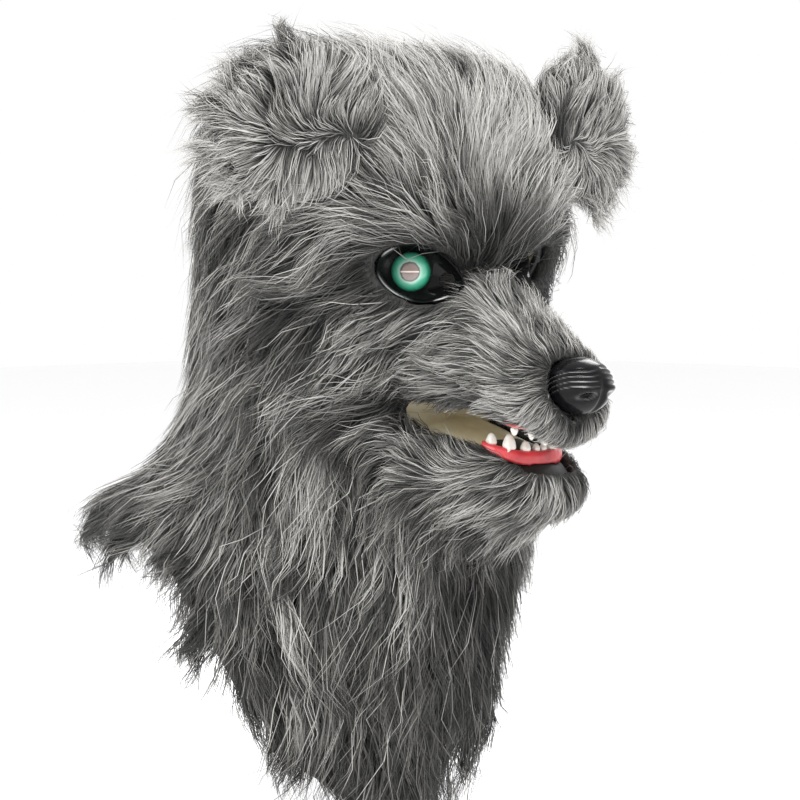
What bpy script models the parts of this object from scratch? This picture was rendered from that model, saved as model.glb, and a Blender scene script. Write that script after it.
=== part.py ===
"""Wolf head mask, worn over the whole head: a hard face and jaw shell, a fabric hood
and shoulder cape, a fur coat in four panels, two ears, eyes, a nose, gums and teeth.

Metres, +Z up. The face looks along -Y and the wolf's own left is +X. The origin is the
crown seat: the point inside the hood that rests on top of the wearer's head.
A bearing is an angle round the neck axis: 0 is the face, 90 the wolf's right (-X).
"""

import math

import bmesh
import bpy
from mathutils import Matrix, Vector

# Main sizes
HEAD_REACH = 0.100  # from the neck axis out to the wall, which the head's shares follow
HEAD_DROP = 0.240  # from the crown seat down to the throat
HEM_REACH = 0.160  # from the neck axis to the cape's hem at the back of the shoulders
HEM_DROP = 0.206  # from the throat down to the lowest point of the bib
NECK_AXIS_Y = 0.025  # the neck axis is this far behind the crown seat
MUZZLE_LENGTH = 0.160  # from the crown seat forward to the muzzle shell's front
JAW_SHARE = 0.9375  # the jaw's length as a share of the muzzle's
JAW_LENGTH = MUZZLE_LENGTH * JAW_SHARE
MUZZLE_HALF_WIDTH = 0.050
JAW_HALF_WIDTH = 0.046
WALL = 0.003  # shell and backing fabric
SEAM = 0.0003  # gap between touching pieces
ROUND_SEAM = SEAM * 1.3  # the same round eyes and nose, whose facets close it a little
GUM_SEAM = SEAM * 1.4
EAR_SEAM = SEAM * 1.5
CUTTER_DROP = 0.25  # how far a cutter runs on below the hem
FAR = 0.6  # half the side of a region box, which is larger than the mask
HEAD_PILE = 0.019  # fur depth over the head
FACE_PILE = 0.011  # shorter fur between the eyes and on the forehead
CAPE_PILE = 0.014
MUZZLE_PILE = 0.009
BEARINGS = 18  # columns round the head
RING = 12  # points round a muzzle or jaw section
CRUMB = 0.000002  # edges shorter than this are closed up after a cut
FLAT_WITHIN = 1.5  # degrees between faces that are read as one flat face

# Head wall, from the crown down. drop is a share of HEAD_DROP below the seat, and the
# reaches at bearings 0, 45, 90, 135 and 180 degrees are shares of HEAD_REACH.
HEAD_COLUMNS = ("drop", "front", "corner", "side", "quarter", "back")
HEAD_SECTIONS = (
    (-0.012, 0.42, 0.48, 0.44, 0.38, 0.38),
    (0.008, 0.68, 0.80, 0.70, 0.60, 0.60),
    (0.067, 0.86, 1.02, 0.84, 0.73, 0.76),
    (0.158, 0.98, 1.15, 0.92, 0.82, 0.86),
    (0.275, 1.07, 1.22, 0.98, 0.86, 0.90),
    (0.392, 1.09, 1.24, 0.99, 0.87, 0.92),
    (0.500, 0.99, 1.12, 0.96, 0.88, 0.93),
    (0.625, 0.93, 1.06, 0.95, 0.88, 0.95),
    (0.771, 0.90, 1.01, 0.96, 0.90, 1.00),
    (0.896, 0.88, 0.96, 0.98, 1.00, 1.12),
    (1.000, 0.84, 0.88, 0.98, 1.13, 1.28),
)

# Cape hem, by bearing. reach is a share of HEM_REACH and fall a share of HEM_DROP.
HEM_COLUMNS = ("bearing", "reach", "fall")
HEM = (
    (-180, 1.00, 0.20),
    (-135, 1.00, 0.20),
    (-90, 0.72, 0.22),
    (-60, 0.59, 0.31),
    (-35, 0.55, 0.46),
    (-10, 0.56, 0.70),
    (20, 0.60, 0.92),
    (46, 0.64, 1.00),
    (64, 0.71, 0.86),
    (78, 0.79, 0.64),
    (91, 0.87, 0.36),
    (104, 0.93, 0.20),
    (135, 1.01, 0.15),
    (180, 1.00, 0.20),
)
CAPE_ROWS = 4
CAPE_FLARE = 1.2  # above 1, the cape leaves the throat steeply and spreads at the hem

# Muzzle and jaw shells, from inside the head forward. ahead is a share of the length,
# half a share of the half width, and top and bottom are drops below the crown seat,
# as shares of HEAD_DROP.
SNOUT_COLUMNS = ("ahead", "half", "top", "bottom")
MUZZLE_SECTIONS = (
    (0.33, 1.02, 0.47, 0.810),
    (0.49, 0.98, 0.525, 0.812),
    (0.64, 0.88, 0.575, 0.820),
    (0.78, 0.74, 0.630, 0.830),
    (0.90, 0.61, 0.675, 0.852),
    (0.98, 0.50, 0.710, 0.872),
)
JAW_SECTIONS = (
    (0.33, 1.00, 0.845, 1.160),
    (0.48, 0.96, 0.850, 1.150),
    (0.63, 0.87, 0.884, 1.120),
    (0.78, 0.72, 0.908, 1.085),
    (0.90, 0.58, 0.950, 1.060),
    (0.98, 0.42, 0.983, 1.045),
)
SNOUT_ROUND = 2.6  # exponent of the rounded snout sections

# Seams of the coat and the wall
CAPE_SEAM_DROP = 0.296  # below the seat, under the chin
CAPE_SEAM_AHEAD = 0.090
CAPE_SEAM_TILT = 19.0  # degrees, rising towards the back
MUZZLE_SEAM_AHEAD = 0.6125 * MUZZLE_LENGTH
JAW_SEAM_AHEAD = 0.5250 * MUZZLE_LENGTH
# Stations of the mouth's hollow, from its back to its front
MOUTH_AHEAD = tuple(share * MUZZLE_LENGTH for share in (0.375, 0.5875, 0.7375, 0.856, 0.944))
LIP_THICK = 0.003  # of the upper lip, left outside the mouth's hollow
JAW_LIP_THICK = 0.0025
MOUTH_SPREAD = 0.010  # how much wider the hollow is at its back
MOUTH_BITE = 0.004  # how far the hollow is cut past the palate and the jaw's floor
MOUTH_DROP = 0.777 * HEAD_DROP  # the mouth's middle plane, below the crown seat
MOUTH_SLOPE = 0.22  # fall of that plane for each step ahead
JAW_SHELL_DROP = 0.300
JAW_SHELL_AHEAD = 0.30 * MUZZLE_LENGTH
FACE_SEAM_AHEAD = 0.1875 * MUZZLE_LENGTH

# Locks of fur on the head and cape: down is a share of the way from crown to hem,
# turn is degrees from straight down, lift is how far the tip stands off the coat.
LOCK_COLUMNS = ("down", "first", "last", "count", "length", "width", "turn", "lift")
LOCK_ROWS = (
    (0.17, -20, 20, 3, 0.052, 0.030, 180, 0.004),
    (0.24, 112, 248, 4, 0.070, 0.044, 8, 0.005),
    (0.40, 66, 294, 7, 0.078, 0.048, 0, 0.007),
    (0.52, 54, 306, 8, 0.078, 0.046, -6, 0.008),
    (0.66, 62, 298, 7, 0.082, 0.048, 0, 0.008),
    (0.80, -36, 86, 4, 0.078, 0.046, 0, 0.006),
    (0.82, 112, 284, 6, 0.064, 0.048, 0, 0.005),
    (0.90, -14, 74, 3, 0.078, 0.046, 0, 0.006),
    (0.985, -180, 157, 16, 0.038, 0.036, 0, -0.002),
)
LOCK_THICK = 0.011
LOCK_SUNK = 0.42  # share of its thickness that a lock lies in the coat
LOCK_MIDDLE = 0.55  # share of a lock's length at its middle section
LOCK_ROOT = 0.78  # width of a lock at its root, as a share of its full width
LOCK_TAPER = 0.25  # of the thickness, lost at each section
LOCK_SWAY = 10.0  # degrees that neighbouring locks turn apart
LOCK_VARIES = 0.12  # share by which their sizes differ

# Ears
EAR_AT = Vector((0.124, -0.058, -0.022))
EAR_LENGTH = 0.122  # along the rim, from the inner front end to the outer end
EAR_HEIGHT = 0.090
EAR_THICK = 0.044
EAR_YAW = 15.0  # degrees that the outer end is swept back
EAR_LEAN = 14.0  # degrees that the top leans outwards
EAR_HOLLOW = 0.013  # depth of the hollow in the ear's front
EAR_LOCKS = 6
EAR_LOCK_REACH = 0.013  # how far a lock's tip stands past the ear's rim
EAR_LOCK_ROOT = 0.022  # how far inside the rim it starts
EAR_LOCK_EDGE = 0.002
EAR_LOCK_WIDTHS = (0.034, 0.036)
EAR_LOCK_SAG = 0.3

# Eyes
EYE_AT = Vector((0.047, -0.079, -0.1145))
EYE_BEARING = 50.0
EYE_DROOP = 14.0  # degrees that the inner corner hangs below the outer
EYE_LENGTH = 0.056
EYE_HEIGHT = 0.035
EYE_DEPTH = 0.016  # of the socket cut in the face
EYE_BACK = 0.004  # the cup's back stands this far off the socket's floor
EYE_NARROW = 0.34  # how much narrower the outline is at its inner corner
SOCKET_IN = 0.04  # how far the socket's cutter runs into the head
SOCKET_OUT = 0.03
EYE_DISH = 0.009  # how far the cup is dished
DOME_RADIUS = 0.0130
DOME_RISE = 0.0100  # from the cup's floor to the dome's top
DOME_SHIFT = 0.0065  # from the cup's middle towards the outer corner
SIGHT_HOLE = 0.0050  # radius of the hole that the wearer looks through
SIGHT_SHIFT = 0.0165  # from the cup's middle towards the inner corner
SIGHT_DEPTH = 0.06  # length of the hole's cutter

# Nose
NOSE_AHEAD = 0.007  # its middle, ahead of the muzzle shell's front
NOSE_DROP = 0.756  # share of HEAD_DROP
NOSE_AT = Vector((0.0, -MUZZLE_LENGTH - NOSE_AHEAD, -NOSE_DROP * HEAD_DROP))
NOSE_HALF = Vector((0.0235, 0.0205, 0.0190))
NOSTRIL = 0.0050
NOSTRIL_AT = Vector((0.0125, -0.0170, -0.0050))  # of the left one, from the nose's middle

# Gums and teeth
GUM_THICK = 0.0080
GUM_ROOT = 0.0030  # how far a gum is made past its seat before it is cut to it
TOOTH_ROOT = 0.0020
GUM_INSET = 0.0068  # from the shell's side to the middle of the gum
LOWER_GUM_BACK = 0.760 * JAW_LENGTH
LOWER_GUM_FRONT = 0.900 * JAW_LENGTH
LOWER_GUM_TOP_BACK = 0.2150  # drops of the gum's top edge
LOWER_GUM_TOP_FRONT = 0.2215
UPPER_GUM_BACK = 0.830 * MUZZLE_LENGTH
UPPER_GUM_FRONT = 0.925 * MUZZLE_LENGTH
UPPER_GUM_HEIGHT = 0.0035
# share along the gum from its back end to its front middle, radius and height
TOOTH_COLUMNS = ("along", "radius", "height")
LOWER_TEETH = (
    (0.14, 0.0034, 0.0060),
    (0.43, 0.0042, 0.0085),
    (0.70, 0.0034, 0.0055),
    (0.92, 0.0023, 0.0040),
)
UPPER_TEETH = (
    (0.16, 0.0026, 0.0050),
    (0.46, 0.0026, 0.0055),
    (0.74, 0.0032, 0.0085),
)
TOOTH_SIDES = 5

FUR_GREY = (0.16, 0.158, 0.15)
SHELL_TAN = (0.46, 0.40, 0.26)
BACKING_GREY = (0.22, 0.21, 0.20)
GLOSS_BLACK = (0.006, 0.006, 0.007)
EYE_GREEN = (0.05, 0.55, 0.36)
GUM_RED = (0.62, 0.03, 0.035)
TOOTH_WHITE = (0.86, 0.83, 0.78)


def rows(columns, table):
    """Each row of a table as a dict of its named columns."""
    return [dict(zip(columns, row)) for row in table]


def smooth_between(stops, at):
    """The value at a place between (place, value) stops, with level ends at each stop."""
    for (a, low), (b, high) in zip(stops, stops[1:]):
        if at <= b:
            t = max(0.0, (at - a) / (b - a))
            return low + (high - low) * t * t * (3 - 2 * t)
    return stops[-1][1]


def straight_between(stops, at):
    """The value at a place between (place, value) stops, on straight lines."""
    for (a, low), (b, high) in zip(stops, stops[1:]):
        if at <= b:
            return low + (high - low) * max(0.0, (at - a) / (b - a))
    return stops[-1][1]


def wrapped(bearing):
    """The same bearing between -180 and 180 degrees."""
    return (bearing + 180.0) % 360.0 - 180.0


def around(bearing, reach, z):
    """The point at a bearing and reach from the neck axis."""
    turn = math.radians(bearing)
    return Vector(
        (-math.sin(turn) * reach, NECK_AXIS_Y - math.cos(turn) * reach, z)
    )


def head_reach(section, bearing):
    stops = [
        (0, section["front"]),
        (45, section["corner"]),
        (90, section["side"]),
        (135, section["quarter"]),
        (180, section["back"]),
    ]
    return HEAD_REACH * smooth_between(stops, abs(wrapped(bearing)))


def hem_at(bearing):
    """Reach and height of the cape's hem at a bearing."""
    table = rows(HEM_COLUMNS, HEM)
    place = wrapped(bearing)
    reach = smooth_between([(r["bearing"], r["reach"]) for r in table], place)
    fall = smooth_between([(r["bearing"], r["fall"]) for r in table], place)
    return HEM_REACH * reach, -HEAD_DROP - HEM_DROP * fall


def hood_rings():
    """Rings of points on the hood's wall, from the crown to the hem."""
    bearings = [360.0 * i / BEARINGS for i in range(BEARINGS)]
    rings = []
    sections = rows(HEAD_COLUMNS, HEAD_SECTIONS)
    for section in sections:
        z = -HEAD_DROP * section["drop"]
        rings.append([around(b, head_reach(section, b), z) for b in bearings])
    throat = sections[-1]
    for row in range(1, CAPE_ROWS + 1):
        share = row / CAPE_ROWS
        ring = []
        for bearing in bearings:
            hem_reach, hem_z = hem_at(bearing)
            start = head_reach(throat, bearing)
            reach = start + (hem_reach - start) * share**CAPE_FLARE
            ring.append(around(bearing, reach, -HEAD_DROP + (hem_z + HEAD_DROP) * share))
        rings.append(ring)
    return rings


def snout_rings(table, length, half_width):
    """Rings of a muzzle or jaw, from inside the head to the front."""
    rings = []
    for section in rows(SNOUT_COLUMNS, table):
        half = half_width * section["half"]
        top, bottom = -HEAD_DROP * section["top"], -HEAD_DROP * section["bottom"]
        ring = []
        for i in range(RING):
            turn = 2 * math.pi * (i + 0.5) / RING
            c, s = math.cos(turn), math.sin(turn)
            size = (abs(c) ** SNOUT_ROUND + abs(s) ** SNOUT_ROUND) ** (-1 / SNOUT_ROUND)
            x = half * size * s
            z = (top + bottom) / 2 + (top - bottom) / 2 * size * c
            ring.append(Vector((x, -length * section["ahead"], z)))
        rings.append(ring)
    return rings


def ring_mesh(rings, first_pole=None, last_pole=None):
    """An open bmesh over rings of equal length, closed by a fan at each pole given."""
    mesh = bmesh.new()
    grid = [[mesh.verts.new(p) for p in ring] for ring in rings]
    count = len(rings[0])
    for upper, lower in zip(grid, grid[1:]):
        for i in range(count):
            j = (i + 1) % count
            mesh.faces.new((upper[i], upper[j], lower[j], lower[i]))
    for pole, ring in ((first_pole, grid[0]), (last_pole, grid[-1])):
        if pole is not None:
            tip = mesh.verts.new(pole)
            for i in range(count):
                mesh.faces.new((tip, ring[i], ring[(i + 1) % count]))
    bmesh.ops.recalc_face_normals(mesh, faces=mesh.faces)
    mesh.normal_update()
    return mesh, grid


def face_outwards(mesh):
    """Turns the faces of a closed bmesh so that they all point out of it."""
    bmesh.ops.recalc_face_normals(mesh, faces=mesh.faces)
    if mesh.calc_volume(signed=True) < 0:
        bmesh.ops.reverse_faces(mesh, faces=mesh.faces)
    mesh.normal_update()


def object_from(mesh, name, collection):
    """The bmesh as an object of flat triangles, which every later cut reads alike."""
    face_outwards(mesh)
    bmesh.ops.triangulate(mesh, faces=mesh.faces)
    data = bpy.data.meshes.new(name)
    mesh.to_mesh(data)
    mesh.free()
    made = bpy.data.objects.new(name, data)
    collection.objects.link(made)
    return made


def hood_body(name, offsets, collection, below=0.0):
    """The hood as a closed body, its wall moved outwards by offsets[row][column].

    With below, the hem goes straight down that much more, as a cutter needs."""
    rings = hood_rings()
    crown = Vector((0.0, NECK_AXIS_Y, WALL))
    mesh, grid = ring_mesh(rings, first_pole=crown)
    facing = 1.0 if grid[6][0].normal.y < 0 else -1.0
    moved = [
        [v.co + v.normal * facing * offsets[r][c] for c, v in enumerate(ring)]
        for r, ring in enumerate(grid)
    ]
    mesh.free()
    crown.z += offsets[0][0]
    if below:
        moved.append([p - Vector((0, 0, below)) for p in moved[-1]])
    low = sum((p.z for p in moved[-1]), 0.0) / BEARINGS
    foot = Vector((0.0, NECK_AXIS_Y, low - (below / 4)))
    mesh, grid = ring_mesh(moved, crown, foot)
    return object_from(mesh, name, collection)


def level_offsets(depth):
    return [[depth] * BEARINGS for _ in range(len(HEAD_SECTIONS) + CAPE_ROWS)]


def pile_at(row, bearing):
    """How deep the coat is at a row of the hood and a bearing."""
    if row >= len(HEAD_SECTIONS):
        share = (row - len(HEAD_SECTIONS) + 1) / CAPE_ROWS
        return HEAD_PILE + (CAPE_PILE - HEAD_PILE) * share
    face = smooth_between([(0, 1.0), (28, 1.0), (62, 0.0), (180, 0.0)], abs(wrapped(bearing)))
    crown = smooth_between([(0, 0.0), (2, 0.0), (4, 1.0), (16, 1.0)], row)
    return HEAD_PILE + (FACE_PILE - HEAD_PILE) * face * crown


def pile_offsets():
    bearings = [360.0 * i / BEARINGS for i in range(BEARINGS)]
    count = len(HEAD_SECTIONS) + CAPE_ROWS
    return [[pile_at(r, b) for b in bearings] for r in range(count)]


def snout_body(name, table, length, half_width, offset, collection):
    """A muzzle or jaw as a closed body, grown outwards by offset."""
    rings = snout_rings(table, length, half_width)
    ends = []
    for ring, shift in ((rings[0], 0.0), (rings[-1], -0.003)):
        middle = sum(ring, Vector()) / RING
        ends.append(middle + Vector((0, shift, 0)))
    mesh, _ = ring_mesh(rings, *ends)
    face_outwards(mesh)
    for vertex in mesh.verts:
        vertex.co += vertex.normal * offset
    return object_from(mesh, name, collection)


def baked(thing, name=None):
    """The evaluated object as a plain mesh object under the same or a new name."""
    bpy.context.view_layer.update()
    graph = bpy.context.evaluated_depsgraph_get()
    data = bpy.data.meshes.new_from_object(thing.evaluated_get(graph))
    collection = thing.users_collection[0]
    name = name or thing.name
    matrix = thing.matrix_world.copy()
    bpy.data.objects.remove(thing)
    data.name = name
    made = bpy.data.objects.new(name, data)
    made.matrix_world = matrix
    collection.objects.link(made)
    return made


def tidied(thing):
    """Welds the crumbs of a cut and takes out the edges that it left on flat faces."""
    mesh = bmesh.new()
    mesh.from_mesh(thing.data)
    bmesh.ops.remove_doubles(mesh, verts=mesh.verts, dist=CRUMB)
    bmesh.ops.dissolve_limit(
        mesh, angle_limit=math.radians(FLAT_WITHIN), verts=mesh.verts, edges=mesh.edges
    )
    bmesh.ops.triangulate(mesh, faces=mesh.faces)
    mesh.to_mesh(thing.data)
    mesh.free()
    return thing


def joined(target, others):
    """Target and the others as one body. The others stay as they are."""
    group = bpy.data.collections.new(target.name + "_operands")
    for other in others:
        group.objects.link(other)
    step = target.modifiers.new("join", "BOOLEAN")
    step.operand_type = "COLLECTION"
    step.collection = group
    step.operation = "UNION"
    step.use_self = True
    made = baked(target)
    bpy.data.collections.remove(group)
    return tidied(made)


def cut(target, others, operation="DIFFERENCE"):
    """Target less each of the others in turn, or only what it shares with them."""
    for other in others:
        step = target.modifiers.new("cut", "BOOLEAN")
        step.object = other
        step.operation = operation
        target = baked(target)
    return tidied(target)


def copy_of(thing, name, collection):
    made = bpy.data.objects.new(name, thing.data.copy())
    made.matrix_world = thing.matrix_world.copy()
    collection.objects.link(made)
    return made


def keep_largest(thing):
    """Drops crumbs that a cut left loose beside the main body."""
    mesh = bmesh.new()
    mesh.from_mesh(thing.data)
    left, groups = set(mesh.verts), []
    while left:
        queue, group = [left.pop()], set()
        while queue:
            vertex = queue.pop()
            group.add(vertex)
            for edge in vertex.link_edges:
                other = edge.other_vert(vertex)
                if other in left:
                    left.discard(other)
                    queue.append(other)
        groups.append(group)
    groups.sort(key=lambda g: sum(f.calc_area() for v in g for f in v.link_faces))
    crumbs = [v for group in groups[:-1] for v in group]
    bmesh.ops.delete(mesh, geom=crumbs, context="VERTS")
    mesh.to_mesh(thing.data)
    mesh.free()


def box_cutter(name, low, high, collection):
    """A box between two corners."""
    bpy.ops.mesh.primitive_cube_add(size=1.0)
    made = bpy.context.object
    made.name = name
    made.data.name = name
    size = Vector(high) - Vector(low)
    middle = (Vector(high) + Vector(low)) / 2
    made.data.transform(Matrix.Translation(middle) @ Matrix.Diagonal((*size, 1)))
    for owner in list(made.users_collection):
        owner.objects.unlink(made)
    collection.objects.link(made)
    return made


def lock_mesh(path, widths, thick, side, grow=0.0):
    """A flat tapering lock of fur: diamond sections along a path that ends in a point."""
    rings = []
    for k, (place, width) in enumerate(zip(path[:-1], widths)):
        along = (path[k + 1] - place).normalized()
        out = side.cross(along).normalized()
        half = width / 2 + grow
        deep = thick / 2 * (1 - LOCK_TAPER * k) + grow
        rings.append(
            [place + side * half, place + out * deep, place - side * half, place - out * deep]
        )
    along = (path[-1] - path[-2]).normalized()
    mesh, _ = ring_mesh(rings, path[0] - along * (0.002 + grow), path[-1] + along * grow)
    return mesh


def frame_at(rings, normals, down, bearing):
    """Point, outward normal and downward tangent on the hood's coat."""
    row = down * (len(rings) - 1)
    r = min(int(row), len(rings) - 2)
    column = (bearing % 360.0) / 360.0 * BEARINGS
    c = int(column) % BEARINGS
    d = (c + 1) % BEARINGS
    s, t = row - r, column - int(column)

    def mixed(grid):
        upper = grid[r][c].lerp(grid[r][d], t)
        return upper.lerp(grid[r + 1][c].lerp(grid[r + 1][d], t), s)

    normal = mixed(normals).normalized()
    step = rings[r + 1][c].lerp(rings[r + 1][d], t) - rings[r][c].lerp(rings[r][d], t)
    tangent = (step - normal * step.dot(normal)).normalized()
    return mixed(rings), normal, tangent


def coat_locks(collection):
    """The locks that stand off the head and cape, each one a closed body."""
    rings = hood_rings()
    crown = Vector((0.0, NECK_AXIS_Y, WALL))
    mesh, grid = ring_mesh(rings, first_pole=crown)
    facing = 1.0 if grid[6][0].normal.y < 0 else -1.0
    normals = [[v.normal * facing for v in ring] for ring in grid]
    mesh.free()
    piles = pile_offsets()
    coat = [
        [p + normals[r][c] * piles[r][c] for c, p in enumerate(ring)]
        for r, ring in enumerate(rings)
    ]
    made = []
    for number, row in enumerate(rows(LOCK_COLUMNS, LOCK_ROWS)):
        for i in range(row["count"]):
            share = i / (row["count"] - 1)
            bearing = row["first"] + (row["last"] - row["first"]) * share
            place, normal, tangent = frame_at(coat, normals, row["down"], bearing)
            sway = LOCK_SWAY * math.sin(2.4 * i + number)
            turn = Matrix.Rotation(math.radians(row["turn"] + sway), 3, normal)
            along = turn @ tangent
            side = normal.cross(along).normalized()
            size = 1.0 + LOCK_VARIES * math.sin(1.7 * i + 2.0 * number)
            length, width = row["length"] * size, row["width"] * size
            sunk = -LOCK_THICK * LOCK_SUNK
            path = [
                place + along * length * s + normal * (sunk + row["lift"] * h)
                for s, h in ((0.0, 0.0), (LOCK_MIDDLE, 0.8), (1.0, 1.0))
            ]
            widths = (width * LOCK_ROOT, width)
            lock = lock_mesh(path, widths, LOCK_THICK, side)
            made.append(object_from(lock, f"lock_{number}_{i}", collection))
    return made


def ear_frame(hand):
    """Matrix of an ear: X along the rim outwards, Y to the back, Z up. hand is 1 for left."""
    turn = Matrix.Rotation(math.radians(EAR_YAW), 3, "Z")
    lean = Matrix.Rotation(math.radians(EAR_LEAN), 3, "Y")
    frame = (turn @ lean).to_4x4()
    frame.translation = EAR_AT
    return Matrix.Diagonal((hand, 1, 1, 1)) @ frame


def ear_core(name, hand, collection, grow=0.0):
    """A thick round lobe with a hollow in its front."""
    mesh = bmesh.new()
    bmesh.ops.create_uvsphere(mesh, u_segments=12, v_segments=7, radius=1.0)
    half = Vector((EAR_LENGTH / 2, EAR_THICK / 2, EAR_HEIGHT / 2))
    for vertex in mesh.verts:
        x, y, z = vertex.co.x, vertex.co.z, vertex.co.y
        ring = max(0.0, 1.0 - (x * x + z * z) * 1.5)
        dent = EAR_HOLLOW * ring if y < 0 else 0.0
        vertex.co = Vector((x * half.x, y * half.y + dent, z * half.z))
    face_outwards(mesh)
    for vertex in mesh.verts:
        vertex.co += vertex.normal * grow
    mesh.transform(ear_frame(hand))
    return object_from(mesh, name, collection)


def ear_locks(hand, collection, grow=0.0):
    """Locks round the free rim of an ear."""
    made = []
    frame = ear_frame(hand)
    for i in range(EAR_LOCKS):
        turn = math.radians(-62 + 152 * i / (EAR_LOCKS - 1))
        out = Vector((math.cos(turn), 0, math.sin(turn)))
        side = Vector((0, 1, 0)).cross(out)
        at = Vector((out.x * EAR_LENGTH / 2, 0, out.z * EAR_HEIGHT / 2))
        sag = Vector((0, 0, -EAR_LOCK_SAG)) * (1 - out.z)
        steps = (-EAR_LOCK_ROOT, -EAR_LOCK_EDGE, EAR_LOCK_REACH)
        path = [at + out * s + sag * max(0.0, s) for s in steps]
        lock = lock_mesh(path, EAR_LOCK_WIDTHS, EAR_THICK * 0.7, side, grow)
        lock.transform(frame)
        made.append(object_from(lock, f"ear_lock_{hand}_{i}", collection))
    return made


def whole_ear(name, hand, collection, cutters, grow=0.0):
    core = ear_core(name, hand, collection, grow)
    return joined(core, ear_locks(hand, cutters, grow))


def eye_frame(hand):
    """Matrix of an eye: X to the inner corner, Y up, Z out of the head. hand is 1 for left."""
    facing, droop = math.radians(EYE_BEARING), math.radians(EYE_DROOP)
    out = Vector((math.sin(facing), -math.cos(facing), 0))
    level = Vector((-math.cos(facing), -math.sin(facing), 0))
    inner = level * math.cos(droop) - Vector((0, 0, math.sin(droop)))
    up = inner.cross(out)
    if up.z < 0:
        up = -up
    frame = Matrix((inner, up, out)).transposed().to_4x4()
    frame.translation = EYE_AT
    return Matrix.Diagonal((hand, 1, 1, 1)) @ frame


def almond(length, height, count=16):
    """An eye outline, fuller towards the outer corner."""
    points = []
    for i in range(count):
        turn = 2 * math.pi * i / count
        x, y = math.cos(turn), math.sin(turn)
        narrow = 1.0 - EYE_NARROW * max(0.0, x) ** 1.5
        points.append(Vector((x * length / 2, y * height / 2 * narrow, 0)))
    return points


def almond_prism(name, hand, grow, low, high, collection):
    """A closed prism of the eye outline between two heights along the eye's axis."""
    outline = almond(EYE_LENGTH + 2 * grow, EYE_HEIGHT + 2 * grow)
    rings = [[p + Vector((0, 0, h)) for p in outline] for h in (low, high)]
    mesh, _ = ring_mesh(rings, Vector((0, 0, low)), Vector((0, 0, high)))
    mesh.transform(eye_frame(hand))
    return object_from(mesh, name, collection)


def eye_cup(name, hand, collection, cutters):
    """A dished black cup with a hole at its inner corner to see through."""
    back_height = EYE_BACK - EYE_DEPTH
    profile = (
        (back_height, 0.80),
        (back_height, 0.94),
        (0.0, 1.0),
        (0.0, 0.90),
        (-EYE_DISH * 0.75, 0.62),
    )
    rings = []
    for height, share in profile:
        rings.append([p * share + Vector((0, 0, height)) for p in almond(EYE_LENGTH, EYE_HEIGHT)])
    back = Vector((0, 0, back_height))
    mesh, _ = ring_mesh(rings, back, Vector((0, 0, -EYE_DISH)))
    mesh.transform(eye_frame(hand))
    cup = object_from(mesh, name, collection)
    hole = bmesh.new()
    bmesh.ops.create_cone(
        hole,
        cap_ends=True,
        segments=12,
        radius1=SIGHT_HOLE,
        radius2=SIGHT_HOLE,
        depth=SIGHT_DEPTH,
    )
    hole.transform(eye_frame(hand) @ Matrix.Translation((SIGHT_SHIFT, 0, 0)))
    cutter = object_from(hole, name + "_hole", cutters)
    return cut(cup, [cutter])


def eye_dome(name, hand, collection):
    """The coloured dome that sits on the cup's floor."""
    steps, sides = 4, 16
    rings = []
    for k in range(steps):
        turn = math.radians(90 * k / steps)
        radius, height = DOME_RADIUS * math.cos(turn), DOME_RISE * math.sin(turn)
        ring = [2 * math.pi * i / sides for i in range(sides)]
        rings.append(
            [Vector((radius * math.cos(a), radius * math.sin(a), height)) for a in ring]
        )
    mesh, _ = ring_mesh(rings, Vector((0, 0, 0)), Vector((0, 0, DOME_RISE)))
    seat = Matrix.Translation((-DOME_SHIFT, 0, -EYE_DISH))
    mesh.transform(eye_frame(hand) @ seat)
    return object_from(mesh, name, collection)


def grown_copy(thing, grow, name, collection):
    made = copy_of(thing, name, collection)
    mesh = bmesh.new()
    mesh.from_mesh(made.data)
    mesh.normal_update()
    for vertex in mesh.verts:
        vertex.co += vertex.normal * grow
    mesh.to_mesh(made.data)
    mesh.free()
    return made


def nose_body(name, collection, cutters, grow=0.0):
    """A rounded nose pad, broad at the top, with a groove and two nostrils."""
    mesh = bmesh.new()
    bmesh.ops.create_uvsphere(mesh, u_segments=16, v_segments=9, radius=1.0)
    for vertex in mesh.verts:
        x, y, z = vertex.co
        broad = 1.0 + 0.10 * z - 0.12 * max(0.0, -z) ** 2
        groove = 0.10 * math.exp(-((x / 0.16) ** 2)) * max(0.0, -y) * max(0.0, 0.55 - z)
        y += groove
        vertex.co = Vector((x * broad * NOSE_HALF.x, y * NOSE_HALF.y, z * NOSE_HALF.z))
    face_outwards(mesh)
    for vertex in mesh.verts:
        vertex.co += vertex.normal * grow
    mesh.transform(Matrix.Translation(NOSE_AT))
    nose = object_from(mesh, name, collection)
    if grow:
        return nose
    nostrils = []
    for hand in (1, -1):
        hole = bmesh.new()
        bmesh.ops.create_uvsphere(hole, u_segments=8, v_segments=5, radius=NOSTRIL)
        at = NOSE_AT + Vector((hand * NOSTRIL_AT.x, NOSTRIL_AT.y, NOSTRIL_AT.z))
        hole.transform(Matrix.Translation(at) @ Matrix.Diagonal((1.25, 1.0, 0.8, 1)))
        nostrils.append(object_from(hole, f"{name}_nostril_{hand}", cutters))
    return cut(nose, nostrils)


def snout_side(table, length, half_width, column, ahead):
    """A section value at a distance ahead of the crown seat: half, top or bottom."""
    stops = [(s["ahead"] * length, s[column]) for s in rows(SNOUT_COLUMNS, table)]
    value = straight_between(stops, ahead)
    return value * half_width if column == "half" else -HEAD_DROP * value


def gum_path(back, front, table, length, half_width, steps=7):
    """Half of a gum's middle line, from its back end round to the front middle."""
    path = []
    for i in range(steps + 1):
        turn = math.radians(90 * i / steps)
        ahead = back + (front - back) * math.sin(turn)
        side = snout_side(table, length, half_width, "half", back) - GUM_INSET
        path.append((side * math.cos(turn) ** 0.7, -ahead))
    return path


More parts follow.
